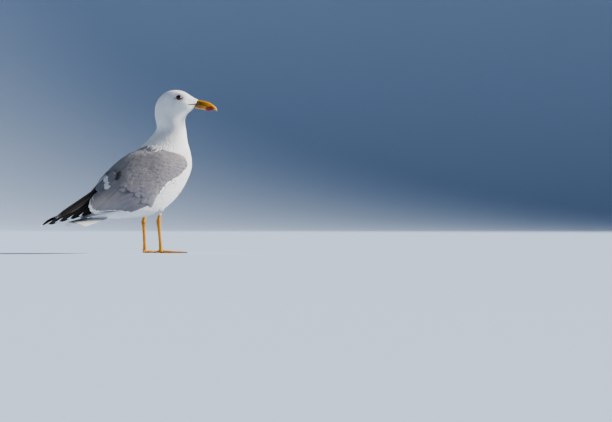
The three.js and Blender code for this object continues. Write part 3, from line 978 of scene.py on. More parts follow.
def bill_finish(name):
    """Yellow horn with a red spot at the gonys, olive at the base, and darkened on the sides as painted
    shade, so that it is paler along its edges.
    """
    look = bpy.context.scene.gull_bare_parts
    made, w, shader = material(name, 0.36, coat=0.25, specular=0.5)
    place = w.object_place()
    red, dull_base_and_side_shade, dark = (w.carried(mask) for mask in ("red", "dull_base_and_side_shade", "dark"))
    grain = w.noise(place, 240.0, 6.0)
    along_bill = {"Vector": place, "Rotation": (0, 0, HEAD_TURN), "Scale": (60, 500, 500)}
    streaks = w.noise(w.add("ShaderNodeMapping", along_bill).outputs[0], 1.6, 4.0)
    # The mask holds the olive base and the painted shade of the bill's sides.
    base_and_side_shade_share = w.math("MULTIPLY", dull_base_and_side_shade, w.ranged(grain, 0.3, 0.6, 0.7, 1.0))
    colour = w.mixed(base_and_side_shade_share, (*look.bill, 1), (*look.bill_base_and_side_shade, 1))
    spot = w.ranged(w.math("ADD", red, w.math("MULTIPLY", grain, 0.35)), 0.55, 0.98)
    colour = w.mixed(spot, colour, (*look.gonys, 1))
    colour = w.mixed(w.ranged(streaks, 0.55, 0.8, 0.0, 0.35), colour, STREAK)
    # The nostrils get painted shade.
    colour = w.mixed(dark, colour, NOSTRIL_SHADE)
    w.feed(shader, "Base Color", colour)
    w.feed(shader, "Roughness", w.ranged(grain, 0.3, 0.7, 0.28, 0.46))
    height = w.math("ADD", w.math("MULTIPLY", streaks, 0.6), w.math("MULTIPLY", grain, 0.4))
    w.relief(shader, height, 0.3, 0.0004)
    return made


def eye_finish(name):
    """A muted amber iris with a dark pupil and rim under a clear cornea; the iris is darker than an adult's
    pale yellow, partly as a near-adult's colour and partly as painted shade of the brow.
    """
    look = bpy.context.scene.gull_bare_parts
    made, w, shader = material(name, 0.2, coat=0.3, specular=0.3)
    off = w.carried("off_axis")
    fleck = w.ranged(w.noise(w.object_place(), 900.0, 4.0), 0.35, 0.7)
    colour = w.mixed(fleck, (*look.iris, 1), (*[0.45 * c for c in look.iris], 1))
    colour = w.mixed(w.ranged(off, 4.2, 5.0), colour, EYE_RIM)
    colour = w.mixed(w.ranged(off, PUPIL - 0.15, PUPIL + 0.1), PUPIL_BLACK, colour)
    w.feed(shader, "Base Color", colour)
    return made


def claw_finish(name):
    """Dark horn with a fine grain."""
    made, w, shader = material(name, 0.38, coat=0.2)
    grain = w.noise(w.object_place(), 600.0, 4.0)
    w.feed(shader, "Base Color", w.mixed(w.ranged(grain, 0.3, 0.7), CLAW_DARK, CLAW_PALE))
    w.relief(shader, grain, 0.2, 0.0003)
    return made


FINISHES = {
    "skin": skin_finish,
    "bill_horn": bill_finish,
    "eye_surface": eye_finish,
    "claw_horn": claw_finish,
}


# ---- skin ----
SCUTE_HEIGHT = 0.34
SHANK_SCUTE, TOE_SCUTE = 3.3, 2.7  # how far apart the plates of shank and toes are
BARE_RIM = 0.2  # how scaly the lids and the corner of the mouth are
GAPE_RADIUS = 1.25


def body_skin():
    """Head, neck, trunk and rump in one closed surface."""
    rows, columns = 260, 132
    grid = np.meshgrid(np.linspace(0, 1, rows), full_turn(columns), indexing="ij")
    points, faces = closed_tube(skin_at(*grid))
    mesh = mesh_of("body_skin", to_frame(points), faces)
    mend(mesh)
    set_tint(mesh, plumage_tint(to_bird(of_vertices(mesh, "co"))), 0.0)
    return new_object("body_skin", mesh)


def foot_side(points, side):
    """Points of one leg as if it were the right one's, measured from the foot's joint, toes along +X."""
    x, y = points[:, 0] - FOOT_X, points[:, 1] * -side - FOOT_Y
    cosine, sine = np.cos(-FOOT_TURN), np.sin(-FOOT_TURN)
    return np.stack([x * cosine - y * sine, x * sine + y * cosine, points[:, 2]], 1)


def plates(along, pitch):
    """The relief of a row of plates with narrow seams between them."""
    return SCUTE_HEIGHT * (np.abs(np.sin(np.pi * along / pitch)) ** 0.5 - 0.6)


def scute_relief(points):
    """Plates across the front of the shank and the top of each toe, in millimetres of relief."""
    x, y, z = points.T
    on_leg = smooth(z, 10, 14) * smooth(z, 90, 84)
    axis_x = np.interp(z, [6, 67, 128], [0, ANKLE[0] - FOOT_X, 8])
    angle = np.abs(np.arctan2(y, x - axis_x))
    relief = on_leg * smooth(angle, 1.15, 0.8) * plates(z, SHANK_SCUTE)
    wrinkles = 0.3 * np.abs(np.sin(1.2 * z)) * bump(z, ANKLE[2], 7)
    relief = relief + wrinkles * smooth(angle, 0.6, 1.6)
    for spread, _ in TOES.values():
        turn = math.radians(spread)
        along = x * math.cos(turn) + y * math.sin(turn)
        off = np.abs(-x * math.sin(turn) + y * math.cos(turn))
        on_toe = smooth(along, 5, 9) * smooth(off, 3.4, 2.4) * smooth(z, 1.6, 2.8) * smooth(z, 14, 10)
        relief = relief + on_toe * plates(along, TOE_SCUTE)
    return relief


def leg_skin(side_name, side):
    """One leg, from its feathered thigh to its webbed foot, remeshed into one skin with scutes."""
    look = bpy.context.scene.gull_bare_parts
    copies = []
    for part in ("thigh", "leg", "foot"):
        source = frame["nodes"][f"{part}_{side_name}"]
        copy = new_object(f"{part}_copy", source.data.copy())
        mend(copy.data)
        copies.append(copy)
    whole = joined("leg_skin_" + side_name, copies)
    swell = whole.modifiers.new("swell", "DISPLACE")
    swell.strength, swell.mid_level = 0.0003, 0.0
    remesh = whole.modifiers.new("remesh", "REMESH")
    remesh.mode, remesh.voxel_size = "VOXEL", bpy.context.scene.gull_plumage.grain
    soften = whole.modifiers.new("soften", "SMOOTH")
    soften.factor, soften.iterations = 0.5, 4
    mesh = evaluated_mesh(whole)
    drop(whole)
    points, normals = to_bird(of_vertices(mesh, "co")), of_vertices(mesh, "normal")
    local = foot_side(points, side)
    thigh = smooth(points[:, 2], THIGH_END_Z, THIGH_END_Z + 5)
    shift = scute_relief(local) * (1 - thigh) - 0.25 - 1.1 * thigh
    shift = np.where(points[:, 2] < SOLE_Z, np.minimum(shift, 0), shift)
    points = points + normals * shift[:, None]
    points[:, 2] = np.maximum(points[:, 2], 0.0)
    # Where the belly's feathers hide it the thigh narrows to a plain post, so that it shows no bulge.
    axis = np.stack([np.interp(points[:, 2], *LEG_AXIS_X), np.full(len(points), ANKLE[1] * side)], 1)
    off = points[:, :2] - axis
    slim = np.minimum(1, THIGH_POST / np.maximum(np.linalg.norm(off, axis=1), 1e-6))
    slim = mix(1.0, slim, smooth(points[:, 2], THIGH_END_Z - 5, THIGH_END_Z + 2))
    points[:, :2] = axis + off * slim[:, None]
    mesh.vertices.foreach_set("co", to_frame(points).astype(np.float32).ravel())
    smoothed(mesh)
    web = smooth(local[:, 2], 4.2, 2.2) * smooth(local[:, 0], 6, 12)
    tint = mix(np.array(look.leg), np.array(look.web), web[:, None])
    tint = tint * mix(1.0, 0.82, bump(points[:, 2], ANKLE[2], 5))[:, None]
    set_tint(mesh, mix(tint, plumage("white"), thigh[:, None]), 1 - thigh)
    return new_object("leg_skin_" + side_name, mesh)


# The lid's rings: how far each is on the way from the opening's edge to the outer edge, and its distance from
# the eye's middle.
LID_SHARES = (-0.05, 0.0, 0.15, 0.4, 0.7, 1.0, 1.3, 1.9)
LID_RADII = (6.6, 7.25, 7.6, 7.75, 7.6, 7.3, 6.9, 6.0)


def lid(side):
    """The orbital ring: a fleshy rim round the eye's opening, which runs out under the feathers."""
    turns = full_turn(72)
    middle = EYE * (1, side, 1)
    forward, out, up = eye_axes(side)
    rings = []
    for share, radius in zip(LID_SHARES, LID_RADII):
        ring = []
        for turn in turns:
            corner = 1 + 0.06 * math.cos(2 * turn) ** 8 * (1 if math.cos(turn) > 0 else 0.6)
            opening = np.array([LID_OPENING[0] * math.cos(turn) * corner, LID_OPENING[1] * math.sin(turn)])
            outer = np.array([LID_OUTER[0] * math.cos(turn), LID_OUTER[1] * math.sin(turn)])
            flat = opening + (outer - opening) * share
            wrinkle = 0.06 * math.sin(18 * turn) * bump(share, 0.4, 0.3)
            reach = min(np.linalg.norm(flat), radius - 0.05)
            flat = flat / np.linalg.norm(flat) * reach
            depth = math.sqrt(max((radius + wrinkle) ** 2 - reach**2, 0.0))
            ring.append(middle + forward * flat[0] + out * depth + up * flat[1])
        rings.append(ring)
    points = turn_head(np.array(rings)).reshape(-1, 3)
    faces = grid_faces(len(rings), len(turns))
    if side < 0:
        faces = [face[::-1] for face in faces]
    mesh = mesh_of("lid", to_frame(points), faces)
    set_tint(mesh, bpy.context.scene.gull_bare_parts.lid, BARE_RIM)
    return new_object("lid", mesh)


def gape(side):
    """The fleshy corner of the mouth, a low roll from the bill's base back over the cheek."""
    steps, turn = np.linspace(0, 1, 28), full_turn(12)
    line_x = mix(GAPE_START[0], GAPE_END[0], steps)
    line_z = mix(GAPE_START[1], GAPE_END[1], steps) - 0.5 * np.sin(np.pi * steps)
    rings = []
    for x, z, share in zip(line_x, line_z, steps):
        on_bill = float(smooth(x, BILL_BASE[0], GAPE_START[0]))
        out = mix(cheek_out(min(x, BILL_BASE[0] + 1), z) + 0.5, BILL_HALF_WIDTH - 0.1, on_bill)
        radius = GAPE_RADIUS * math.sqrt(max(1 - share**1.5, 0.0)) + 0.05
        across = side * (out + 0.6 * radius * np.cos(turn))
        rings.append(np.stack([x + 0 * turn, across, z + radius * np.sin(turn)], 1))
    points, faces = closed_tube(turn_head(np.array(rings)))
    mesh = mesh_of("gape", to_frame(points), faces)
    mend(mesh)
    set_tint(mesh, bpy.context.scene.gull_bare_parts.gape, BARE_RIM)
    return new_object("gape", mesh)


def cheek_out(x, z):
    """How far from the middle the head's skin lies at a height and a place along the head."""
    return float(head_side(x, z)[0][1])


def build_skin():
    """The one skin of the bird, and hidden copies of its body and legs for the feathers to grow on."""
    body = body_skin()
    legs = [leg_skin(name, side) for name, side in SIDES.items()]
    new_object("coat_base", body.data.copy()).hide_render = True
    joined("coat_legs", [new_object("part", leg.data.copy()) for leg in legs]).hide_render = True
    rims = [make(side) for make in (lid, gape) for side in SIDES.values()]
    skin = joined("skin", [body, *legs, *rims])
    skin.data.materials.clear()
    skin.data.materials.append(finish("skin"))
    limbs = [f"{part}_{side}" for part in ("thigh", "leg", "foot") for side in SIDES]
    return finished(skin, "plumage", "head", "neck", "trunk", "rump", *limbs)


# ---- small feathers of head, neck and body ----
TRIES = 7  # how many places are tried for each square of the spacing
LOOSE = 0.08  # how much, in radians, the feathers' rolls differ


def spread_roots(surface, u_range, v_range, spacing, rng):
    """Evenly spread places on a surface, at least spacing(u, v) mm apart, as values of u and v."""
    u = np.linspace(*u_range, 141)
    v = np.linspace(*v_range, 121)
    corners = surface(*np.meshgrid(u, v, indexing="ij"))
    down, across = corners[1:, :-1] - corners[:-1, :-1], corners[:-1, 1:] - corners[:-1, :-1]
    area = np.linalg.norm(np.cross(down, across), axis=-1)
    mid_u, mid_v = np.meshgrid((u[1:] + u[:-1]) / 2, (v[1:] + v[:-1]) / 2, indexing="ij")
    weight = (area / spacing(mid_u, mid_v) ** 2).ravel()
    count = int(weight.sum() * TRIES)
    cell = rng.choice(weight.size, count, p=weight / weight.sum())
    i, j = np.divmod(cell, area.shape[1])
    some_u = u[i] + rng.random(count) * (u[1] - u[0])
    some_v = v[j] + rng.random(count) * (v[1] - v[0])
    places = surface(some_u, some_v)
    apart = spacing(some_u, some_v)
    tree = KDTree(count)
    for k, place in enumerate(places):
        tree.insert(place, k)
    tree.balance()
    free = np.ones(count, bool)
    kept = []
    for k in range(count):
        if free[k]:
            kept.append(k)
            for _, other, _ in tree.find_range(places[k], apart[k]):
                free[other] = False
    return some_u[kept], some_v[kept]


def around_eye(straight, way):
    """Ways of growth bent so that the feathers part before the eye and close behind it."""
    ahead, above = eye_flat(straight)
    offset = ahead + 1j * above
    flow = way[:, 0] + 1j * way[:, 2]
    heading = flow / np.maximum(np.abs(flow), 1e-6)
    local = offset * np.conj(heading)
    nearest = 6.5
    local = np.where(np.abs(local) < nearest, nearest * local / np.maximum(np.abs(local), 1e-6), local)
    bent = np.conj(1 - (LID_EDGE / local) ** 2) * flow
    near = (np.abs(offset) < 26) & (np.abs(straight[:, 1]) > FACE_HALF_WIDTH)
    made = way.copy()
    made[near, 0], made[near, 2] = bent.real[near], bent.imag[near]
    return made


def wing_cover():
    """What hides the body's sides: both wings and what they reach over."""
    corners, faces = [], []
    rows, columns = 60, 24
    x, a = np.linspace(WING_FRONT - 4, WING_BACK, rows), np.linspace(0.03, 0.94, columns)
    for side in SIDES.values():
        grid = wing_at(*np.meshgrid(x, a, indexing="ij"), side)
        faces += grid_faces(rows, columns, closed=False, first=len(corners))
        corners += [Vector(p) for p in grid.reshape(-1, 3)]
    return BVHTree.FromPolygons(corners, faces)


def off_gape(straight):
    """Where the corner of the mouth leaves room for feathers."""
    x, z = straight[:, 0], straight[:, 2] + 0.3
    line = np.interp(x, [GAPE_END[0], GAPE_START[0]], [GAPE_END[1], GAPE_START[1]])
    return (np.abs(z - line) >= GAPE_RADIUS + 0.1) | (x <= GAPE_END[0] - 1)


def free_of_wings(place, up, cover):
    """Whether neither a wing over a place nor one that it lies in hides it."""
    over = cover.ray_cast(Vector(place + 0.5 * up), Vector(up), 34)[0]
    behind = cover.ray_cast(Vector(place), Vector(-up), 12)[0]
    return over is None and behind is None


def painted_shade_by_eye(straight):
    """How dark the feathers before and behind the eye are, in a patch drawn out along the head: painted shade
    under the brow, through the eye's corners.
    """
    along, above = (straight[:, 0] - EYE[0] - 2.0) / 10.5, (straight[:, 2] - EYE[2]) / 3.6
    return 0.9 * np.exp(-((along**2 + above**2) ** 2))


def body_roots(rng, u_range, part, grade):
    """Roots of the small feathers on a stretch of the body, or on its upper or lower part."""
    no_end = 99.0

    def spacing(t, around):
        back = smooth(np.cos(around), 0.1, 0.7) * smooth(t * LAST_SECTION, TRUNK_SECTION, TRUNK_SECTION + 1)
        straight = body_at(t, around)
        from_eye = np.hypot(*eye_flat(straight)) + no_end * (np.abs(straight[..., 1]) < FACE_HALF_WIDTH)
        by_eye = mix(0.7, 1.0, smooth(from_eye, 7.5, 14))
        return grade * section_value(t, COAT_SPACING) * mix(1.0, 1.7, back) * by_eye

    t, around = spread_roots(skin_at, u_range, (0, 2 * np.pi), spacing, rng)
    section = t * LAST_SECTION
    straight = straight_skin_at(t, around)
    place, way, up = surface_frames(skin_at, t, around)
    straight_way = unit(body_at(t + 1e-3, around) - body_at(t - 1e-3, around))
    bent = around_eye(straight, straight_way)
    swirl = turn_head(straight + 0.5 * bent) - turn_head(straight)
    way = np.where((section < HEAD_SECTION)[:, None], swirl, way)
    from_eye = np.hypot(*eye_flat(straight))
    beside = np.abs(straight[:, 1]) > FACE_HALF_WIDTH
    clear = ~beside | ((from_eye >= LID_EDGE - 0.4) & off_gape(straight))
    cover = wing_cover()
    for k in np.nonzero(clear & (section > TRUNK_SECTION))[0]:
        clear[k] = free_of_wings(place[k], up[k], cover)
    above = (np.cos(around) > 0.15) & (section > MANTLE_SECTION)
    clear &= {"above": above, "below": ~above}.get(part, True)
    apart = spacing(t, around)
    room = np.where(beside, 0.6 + 0.75 * np.maximum(from_eye - LID_EDGE, 0), no_end)
    length = np.minimum(apart * 5.4, room)
    face = smooth(section, FACE_SECTION, 0.5)
    tint = plumage_tint(place) * rng.uniform(0.965, 1.02, (len(t), 1))
    # Painted shade beside the eye darkens the feathers there.
    tint = tint * (1 - painted_shade_by_eye(straight) * beside)[:, None]
    way = way + np.cross(up, way) * rng.normal(0, 0.07, len(t))[:, None]
    lift = 0.22 * section_value(t, COAT_DEPTH) * rng.uniform(0.75, 1.25, len(t))
    lift = np.minimum(lift, 0.2 * length)
    roots = Roots()
    roots.add(
        place=(place - up * 0.25)[clear],
        way=way[clear],
        up=up[clear],
        length=length[clear] * rng.uniform(0.85, 1.15, clear.sum()),
        width=(apart * mix(2.3, 1.9, face))[clear],
        lift=lift[clear],
        roll=rng.normal(0, LOOSE, clear.sum()),
        tint=tint[clear],
        uv=np.stack([0.01 + 0.98 * t, 0.01 + 0.98 * around / (2 * np.pi)], 1)[clear],
    )
    return roots


def neighbours(cell):
    """The cells of a cubic grid that touch one of them, and that cell itself."""
    return [tuple(np.add(cell, step)) for step in np.ndindex(3, 3, 3) for step in [np.subtract(step, 1)]]


def thigh_roots(body, legs):
    """Roots of the feathers round the thighs, on the legs' own points that stand clear of the body."""
    rng = draws("thighs")
    apart = 1.4
    points, normals = to_bird(of_vertices(legs.data, "co")), of_vertices(legs.data, "normal")
    shows = (points[:, 2] > THIGH_END_Z) & (points[:, 2] < THIGH_HIDDEN_Z) & (normals[:, 2] < 0.3)
    tree = surface_tree(body)
    kept = []
    taken = {}
    for i in rng.permutation(np.nonzero(shows)[0]):
        cell = tuple(np.floor(points[i] / apart).astype(int))
        near = [taken[c] for c in neighbours(cell) if c in taken]
        if any(np.linalg.norm(points[i] - points[k]) < apart for k in near):
            continue
        spot, normal, _, _ = tree.find_nearest(Vector(to_frame(points[i])))
        if (Vector(to_frame(points[i])) - spot).dot(normal) > 0.0002:
            kept.append(i)
            taken[cell] = i
    place, up = points[kept], normals[kept]
    length = rng.uniform(6.0, 8.5, len(kept)) * mix(0.7, 1.0, smooth(place[:, 2], THIGH_END_Z, 100))
    roots = Roots()
    roots.add(
        place=place - up * 0.3,
        way=np.tile([-0.35, 0.0, -1.0], (len(kept), 1)),
        up=up,
        length=length,
        width=4.2,
        lift=0.3,
        roll=rng.normal(0, LOOSE, len(kept)),
        tint=plumage("white") * rng.uniform(0.965, 1.02, (len(kept), 1)),
        uv=np.stack([0.3 + place[:, 0] / 400, 0.5 + place[:, 1] / 300 + place[:, 2] / 900], 1),
    )
    return roots


def flank_roots(skin, side, rng):
    """Roots of the white feathers that overlap a wing's front edge."""
    rows, a = 4, np.linspace(0.12, 0.97, 14)
    place, _, up, _ = wing_frames(np.full(len(a), WING_FRONT), a, side)
    places, normals = [], []
    bpy.context.view_layer.update()
    for k in np.tile(np.arange(len(a)), rows):
        start = place[k] + np.array([9.0, 0, 0]) * rng.uniform(0.1, 1.1) + rng.normal(0, 1.5, 3) * (1, 0, 1)
        out = unit(up[k] * (1, 1, 0.3))
        outside = Vector(to_frame(start + out * 25))
        found, spot, normal, _ = skin.ray_cast(outside, Vector(-out), distance=0.06)
        if found:
            places.append(to_bird(spot))
            normals.append(normal)
    count, place = len(places), np.array(places)
    roots = Roots()
    roots.add(
        place=place,
        way=np.tile([-1.0, 0.0, -0.45], (count, 1)),
        up=np.array(normals),
        above=-0.5,
        length=rng.uniform(10, 16, count),
        width=rng.uniform(4.5, 6.5, count),
        lift=rng.uniform(0.8, 1.8, count),
        roll=rng.normal(0, LOOSE, count),
        tint=plumage("white") * rng.uniform(0.965, 1.02, (count, 1)),
        uv=np.stack([0.45 + place[:, 0] / 500, 0.5 + side * 0.2 + place[:, 2] / 900], 1),
    )
    return roots


def past_wing(x, a, side):
    """Places and directions on a wing, and on its plain continuation past its upper and lower edge."""
    on_wing = np.clip(a, 0.02, 0.98)
    place, way, up, down = wing_frames(x, on_wing, side)
    past = (a - on_wing) * np.interp(x, [WING_BACK, WING_FRONT], [60, 130])
    return place + down * past[..., None], way, up, down


def scallop_roots(side, rng):
    """Roots of the white flank feathers that reach up over the front half of a wing's lower edge."""
    roots = Roots()
    # Each row: where it starts, as a share of the way down the wing, and how long its feathers are.
    for row, (start, reach) in enumerate(((1.10, 17.0), (1.075, 18.0), (1.05, 19.0))):
        x = np.arange(33.0 - 2 * row, -30.0, -6.5)
        x = x + rng.normal(0, 1.2, len(x))
        share = smooth(np.abs(x - 2), 34, 12)
        a = start + rng.normal(0, 0.008, len(x)) - 0.02 * share
        place, way, up, down = past_wing(x, a, side)
        roots.add(
            place=place,
            way=way - down * (mix(0.12, 0.5, share) + rng.normal(0, 0.06, len(x)))[:, None],
            up=up,
            above=0.3 + 0.5 * row,
            length=reach * rng.uniform(0.85, 1.1, len(x)) * mix(0.8, 1.0, share),
            width=rng.uniform(8.5, 11.0, len(x)),
            lift=rng.uniform(1.2, 2.2, len(x)),
            roll=rng.normal(0, 0.06, len(x)),
            tint=plumage("white") * rng.uniform(0.97, 1.02, (len(x), 1)),
            uv=np.stack([0.45 + x / 500, 0.5 + side * 0.2 + 0 * x], 1),
        )
    return roots


def wing_sheet(name, side, x_range=(WING_FRONT + 6, WING_BACK - 16), a_range=(-0.12, 1.15)):
    """A plain hidden sheet over a wing, a little beyond its edges."""
    rows, columns = 90, 36
    grid = np.meshgrid(np.linspace(*x_range, rows), np.linspace(*a_range, columns), indexing="ij")
    place = past_wing(*grid, side)[0].reshape(-1, 3)
    return hidden_object(name, place, grid_faces(rows, columns, closed=False))


def coat_support(skin):
    """What the body's feathers lie on: the skin and, over it, both wings."""
    copy = new_object("coat_support", skin.data.copy())
    sheets = [wing_sheet("sheet", side, (WING_FRONT - 3, WING_BACK), (0.0, 1.0)) for side in SIDES.values()]
    whole = joined("coat_support", [copy, *sheets])
    whole.hide_render = True
    return whole


# The coat's stretches along the body: first and last section, kind of feather, how large they are, and which
# part of the stretch has them.
STRETCHES = (
    ("coat_face", 0.0, 3.2, "face_tuft", 0.9, "whole"),
    ("coat_crown", 3.2, 6.0, "face_tuft", 0.85, "whole"),
    ("coat_upper_neck", 6.0, 7.9, "soft_tuft", 0.95, "whole"),
    ("coat_lower_neck", 7.9, 9.4, "soft_tuft", 0.95, "whole"),
    ("coat_breast", 9.4, 11.4, "soft_tuft", 1.0, "below"),
    ("coat_keel", 11.4, 13.2, "soft_tuft", 1.0, "below"),
    ("coat_belly", 13.2, 17.0, "soft_tuft", 1.0, "below"),
    ("coat_mantle", 9.4, 11.2, "covert", 1.6, "above"),
)


def build_coat():
    """The small feathers, in stretches from the face to the tail's coverts."""
    size = bpy.context.scene.gull_plumage.grade
    skin, legs = bpy.data.objects["coat_base"], bpy.data.objects["coat_legs"]
    over_wings = coat_support(skin)

    def cover(name, roots, kind, support, hug=1.0):
        finished(grow(name, roots, kind, support, "body_feathers", hug), "plumage")

    for number, (name, first, last, kind, grade, part) in enumerate(STRETCHES):
        ends = (first / LAST_SECTION, last / LAST_SECTION)
        roots = body_roots(draws("coat", number), ends, part, grade * size)
        cover(name, roots, kind, over_wings if first > TRUNK_SECTION else skin)
    cover("coat_thighs", thigh_roots(skin, legs), "soft_tuft", legs, 0.0)
    for number, (name, side) in enumerate(SIDES.items()):
        roots = flank_roots(skin, side, draws("flanks", number))
        cover("coat_flank_" + name, roots, "soft_tuft", over_wings)
        roots = scallop_roots(side, draws("wing edges", number))
        cover("coat_wing_edge_" + name, roots, "covert", over_wings)
    for hidden in (over_wings, skin, legs):
        drop(hidden)


# ---- wings ----
WING_CURVES = {
    "upper": value_over(WING_UPPER),
    "lower": value_over(WING_LOWER),
    "upper_out": value_over(WING_UPPER_OUT),
    "full_out": value_over(WING_FULL_OUT),
    "lower_out": value_over(WING_LOWER_OUT),
}


def wing_at(x, a, side):
    """A folded wing's outer surface: x along the bird, a from its upper edge (0) to its lower one (1)."""
    c = {name: curve(x) for name, curve in WING_CURVES.items()}
    full_z = mix(c["lower"], c["upper"], 0.66)
    out = (1 - a) ** 2 * c["upper_out"] + 2 * a * (1 - a) * c["full_out"] + a**2 * c["lower_out"]
    z = (1 - a) ** 2 * c["upper"] + 2 * a * (1 - a) * full_z + a**2 * c["lower"]
    sunk = 3.5 * smooth(x, 44, WING_FRONT + 2) + 3.0 * smooth(a, 0.86, 1.0) * smooth(x, -50, -30)
    return np.stack([x + 0 * a, side * (out - sunk), z], -1)


def wing_frames(x, a, side):
    """Places on a wing, with the ways towards the tail, out of the wing and down it."""
    place = wing_at(x, a, side)
    way = unit(wing_at(x - 1.0, a, side) - wing_at(x + 1.0, a, side))
    down = unit(wing_at(x, a + 0.01, side) - wing_at(x, a - 0.01, side))
    up = unit(np.cross(way, down)) * -side
    return place, way, up, down


def wing_base(name, side):
    """The thin closed body of the wing that its feathers lie on."""
    x, a = np.linspace(WING_FRONT - 7, WING_BASE_BACK, 90), np.linspace(0.0, 1.0, 30)
    grid_x, grid_a = np.meshgrid(x, a, indexing="ij")
    place, _, up, _ = wing_frames(grid_x, grid_a, side)
    thin = np.sin(np.pi * grid_a) ** 0.5 * smooth(grid_x, WING_FRONT - 6, WING_FRONT - 20)
    outer = place - up * 1.6
    inner = outer - up * (0.4 + 7.0 * thin * smooth(grid_x, WING_BACK, -120))[..., None]
    points, faces = closed_tube(np.concatenate([outer, inner[:, ::-1]], 1))
    mesh = mesh_of(name, to_frame(points), faces)
    mend(mesh)
    mesh.materials.append(finish("coverts"))
    count = len(mesh.vertices)
    set_attribute(mesh, "tint", np.tile(plumage("grey") * 0.8, (count, 1)), "FLOAT_COLOR")
    for plain in ("pale_tip", "pale_edge"):
        set_attribute(mesh, plain, np.zeros(count))
    x, _, z = to_bird(of_vertices(mesh, "co")).T
    flat = np.stack([0.02 + 0.9 * (WING_FRONT - x) / WING_LENGTH, 0.02 + 0.9 * (220 - z) / 150], 1)
    for uv_name in ("vane", "OFBake"):
        set_map(mesh, uv_name, flat)
    return new_object(name, mesh)


def wing_map(x, a):
    """Places on a wing's map."""
    return np.stack([0.02 + 0.9 * (WING_FRONT - x) / WING_LENGTH, 0.02 + 0.9 * a], 1)


COVERTS_END_X = -104.0
BROWNED = np.array([1.06, 1.0, 0.93])  # what wear does to the grey


def covert_roots(side, rng):
    """Roots of a wing's coverts, in rows across it from front to back."""
    grey = plumage("grey")
    roots = Roots()
    x, row = WING_FRONT - 3.0, 0
    while x > COVERTS_END_X:
        share = (WING_FRONT - x) / 160
        step = mix(4.2, 11.0, share)
        edges = wing_at(np.array(x), np.array([0.0, 1.0]), side)
        last = np.interp(x, [COVERTS_END_X, -72, -40], [0.36, 0.66, 1.0])
        count = max(3, int(1.15 * np.linalg.norm(edges[1] - edges[0]) * last / (step * 1.05)))
        a = (np.arange(count) + 0.5 * (row % 2)) / count * last
        first = 0.07 if x < 12 else 0.0
        a = np.clip(first + a * (1 - first) + rng.normal(0, 0.1 / count, count), first, 1.0)
        some_x = x - 10 * (a - 0.4) ** 2 + rng.normal(0, 0.1 * step, count)
        place, way, up, down = wing_frames(some_x, a, side)
        upper = smooth(a, 0.45, 0.2)
        length = step * mix(2.9, 3.3, upper)
        cloud = 0.06 * np.sin(some_x * 0.11 + 4 * a) * np.sin(a * 9.0 + some_x * 0.05)
        fade = rng.uniform(0.88, 1.08, (count, 1)) + cloud[:, None]
        brown = rng.uniform(0, 1, (count, 1)) ** 2 * 0.10
        tint = grey * fade * mix(1.0, BROWNED, brown * 6)
        roots.add(
            place=place - up * 1.2,
            way=way + down * (0.06 + rng.normal(0, 0.04, count))[:, None],
            up=up,
            length=length * rng.uniform(0.92, 1.1, count),
            width=step * mix(1.75, 2.0, upper),
            lift=1.5 + 0.10 * step + rng.uniform(-0.2, 0.3, count),
            roll=-side * rng.normal(0.07, 0.03, count),
            tint=tint,
            pale_edge=rng.uniform(0.0, 0.2, count) * mix(1.0, 1.3, share),
            uv=wing_map(some_x, a),
        )
        x -= step * 0.82
        row += 1
    return roots


# The long feathers of a folded wing: secondaries, greater coverts and tertials. For each row: how many, the
# places of their roots and of their ends as (x, share down the wing), with the others spread between those
# given, and the feathers' width, roll, height, and how pale their tips and edges are.
QUILL_ROWS = (
    (12, ((-72, 0.62), (-40, 0.97)), ((-180, 0.86), (-112, 0.985)), 17.0, 0.09, -0.6, 1.0, 0.1),
    (15, ((-18, 0.36), (-34, 0.95)), ((-84, 0.46), (-92, 0.965)), 14.0, 0.09, -0.6, 0.0, 0.3),
    (
        6,
        ((-82, 0.30), (-70, 0.05)),
        ((-182, 0.93), (-190, 0.76), (-191, 0.56), (-181, 0.42), (-166, 0.31), (-150, 0.20)),
        *(33.0, 0.0, -1.0, 0.72, 0.06),
    ),
)


SADDLE_RANGE = (19.0, 150.0)  # how far behind the bird's origin the mantle's long feathers grow
BACK_CURVE = curve_at(BODY_SECTIONS[:, BACK], np.linspace(TRUNK_SECTION / LAST_SECTION, 1, 300))[::-1]


def saddle_at(back, across):
    """The mantle and scapulars' surface, which bridges the wings.

    back is how far behind the origin it is. Up to 1 to each side it spans the gap, and beyond that it lies on
    the wing.
    """
    x = -np.asarray(back, float)
    top, out = WING_CURVES["upper"](x), WING_CURVES["upper_out"](x)
    rise = np.maximum(np.interp(x, BACK_CURVE[:, 0], BACK_CURVE[:, 1]) + 1.5 - top, 4.5)
    side = np.sign(across)
    share = np.clip(np.abs(across), 0, 1)
    point = np.stack([x + 0 * share, side * share * out, top + rise * (1 - share**2) ** 2], -1)
    on_wing = wing_at(x, np.maximum(np.abs(across) - 1, 0) * 0.35, side)
    return np.where((np.abs(across) > 1)[..., None], on_wing, point)


# Feathers set one by one on the saddle: how far behind the origin they are, and how far across the back.
SCAPULARS = {"behind": (119.0, 120, 122, 125, 129), "across": (0.62, 0.86, 1.1, 1.32, 1.5)}
# Dark feathers beside the white scapulars: painted shadow, standing for the shade under the raised scapulars.
SHADOW_FEATHERS = {"behind": (103.0, 106, 110), "across": (1.28, 1.42, 1.5), "tint": (0.05, 0.048, 0.05)}


def saddle_frames(behind, across):
    return surface_frames(saddle_at, behind, across, 1.0, 0.04)


def saddle_map(behind, across):
    """Places on the saddle's map."""
    return np.stack([0.02 + 0.9 * behind / WING_LENGTH, 0.5 + 0.2 * across], 1)


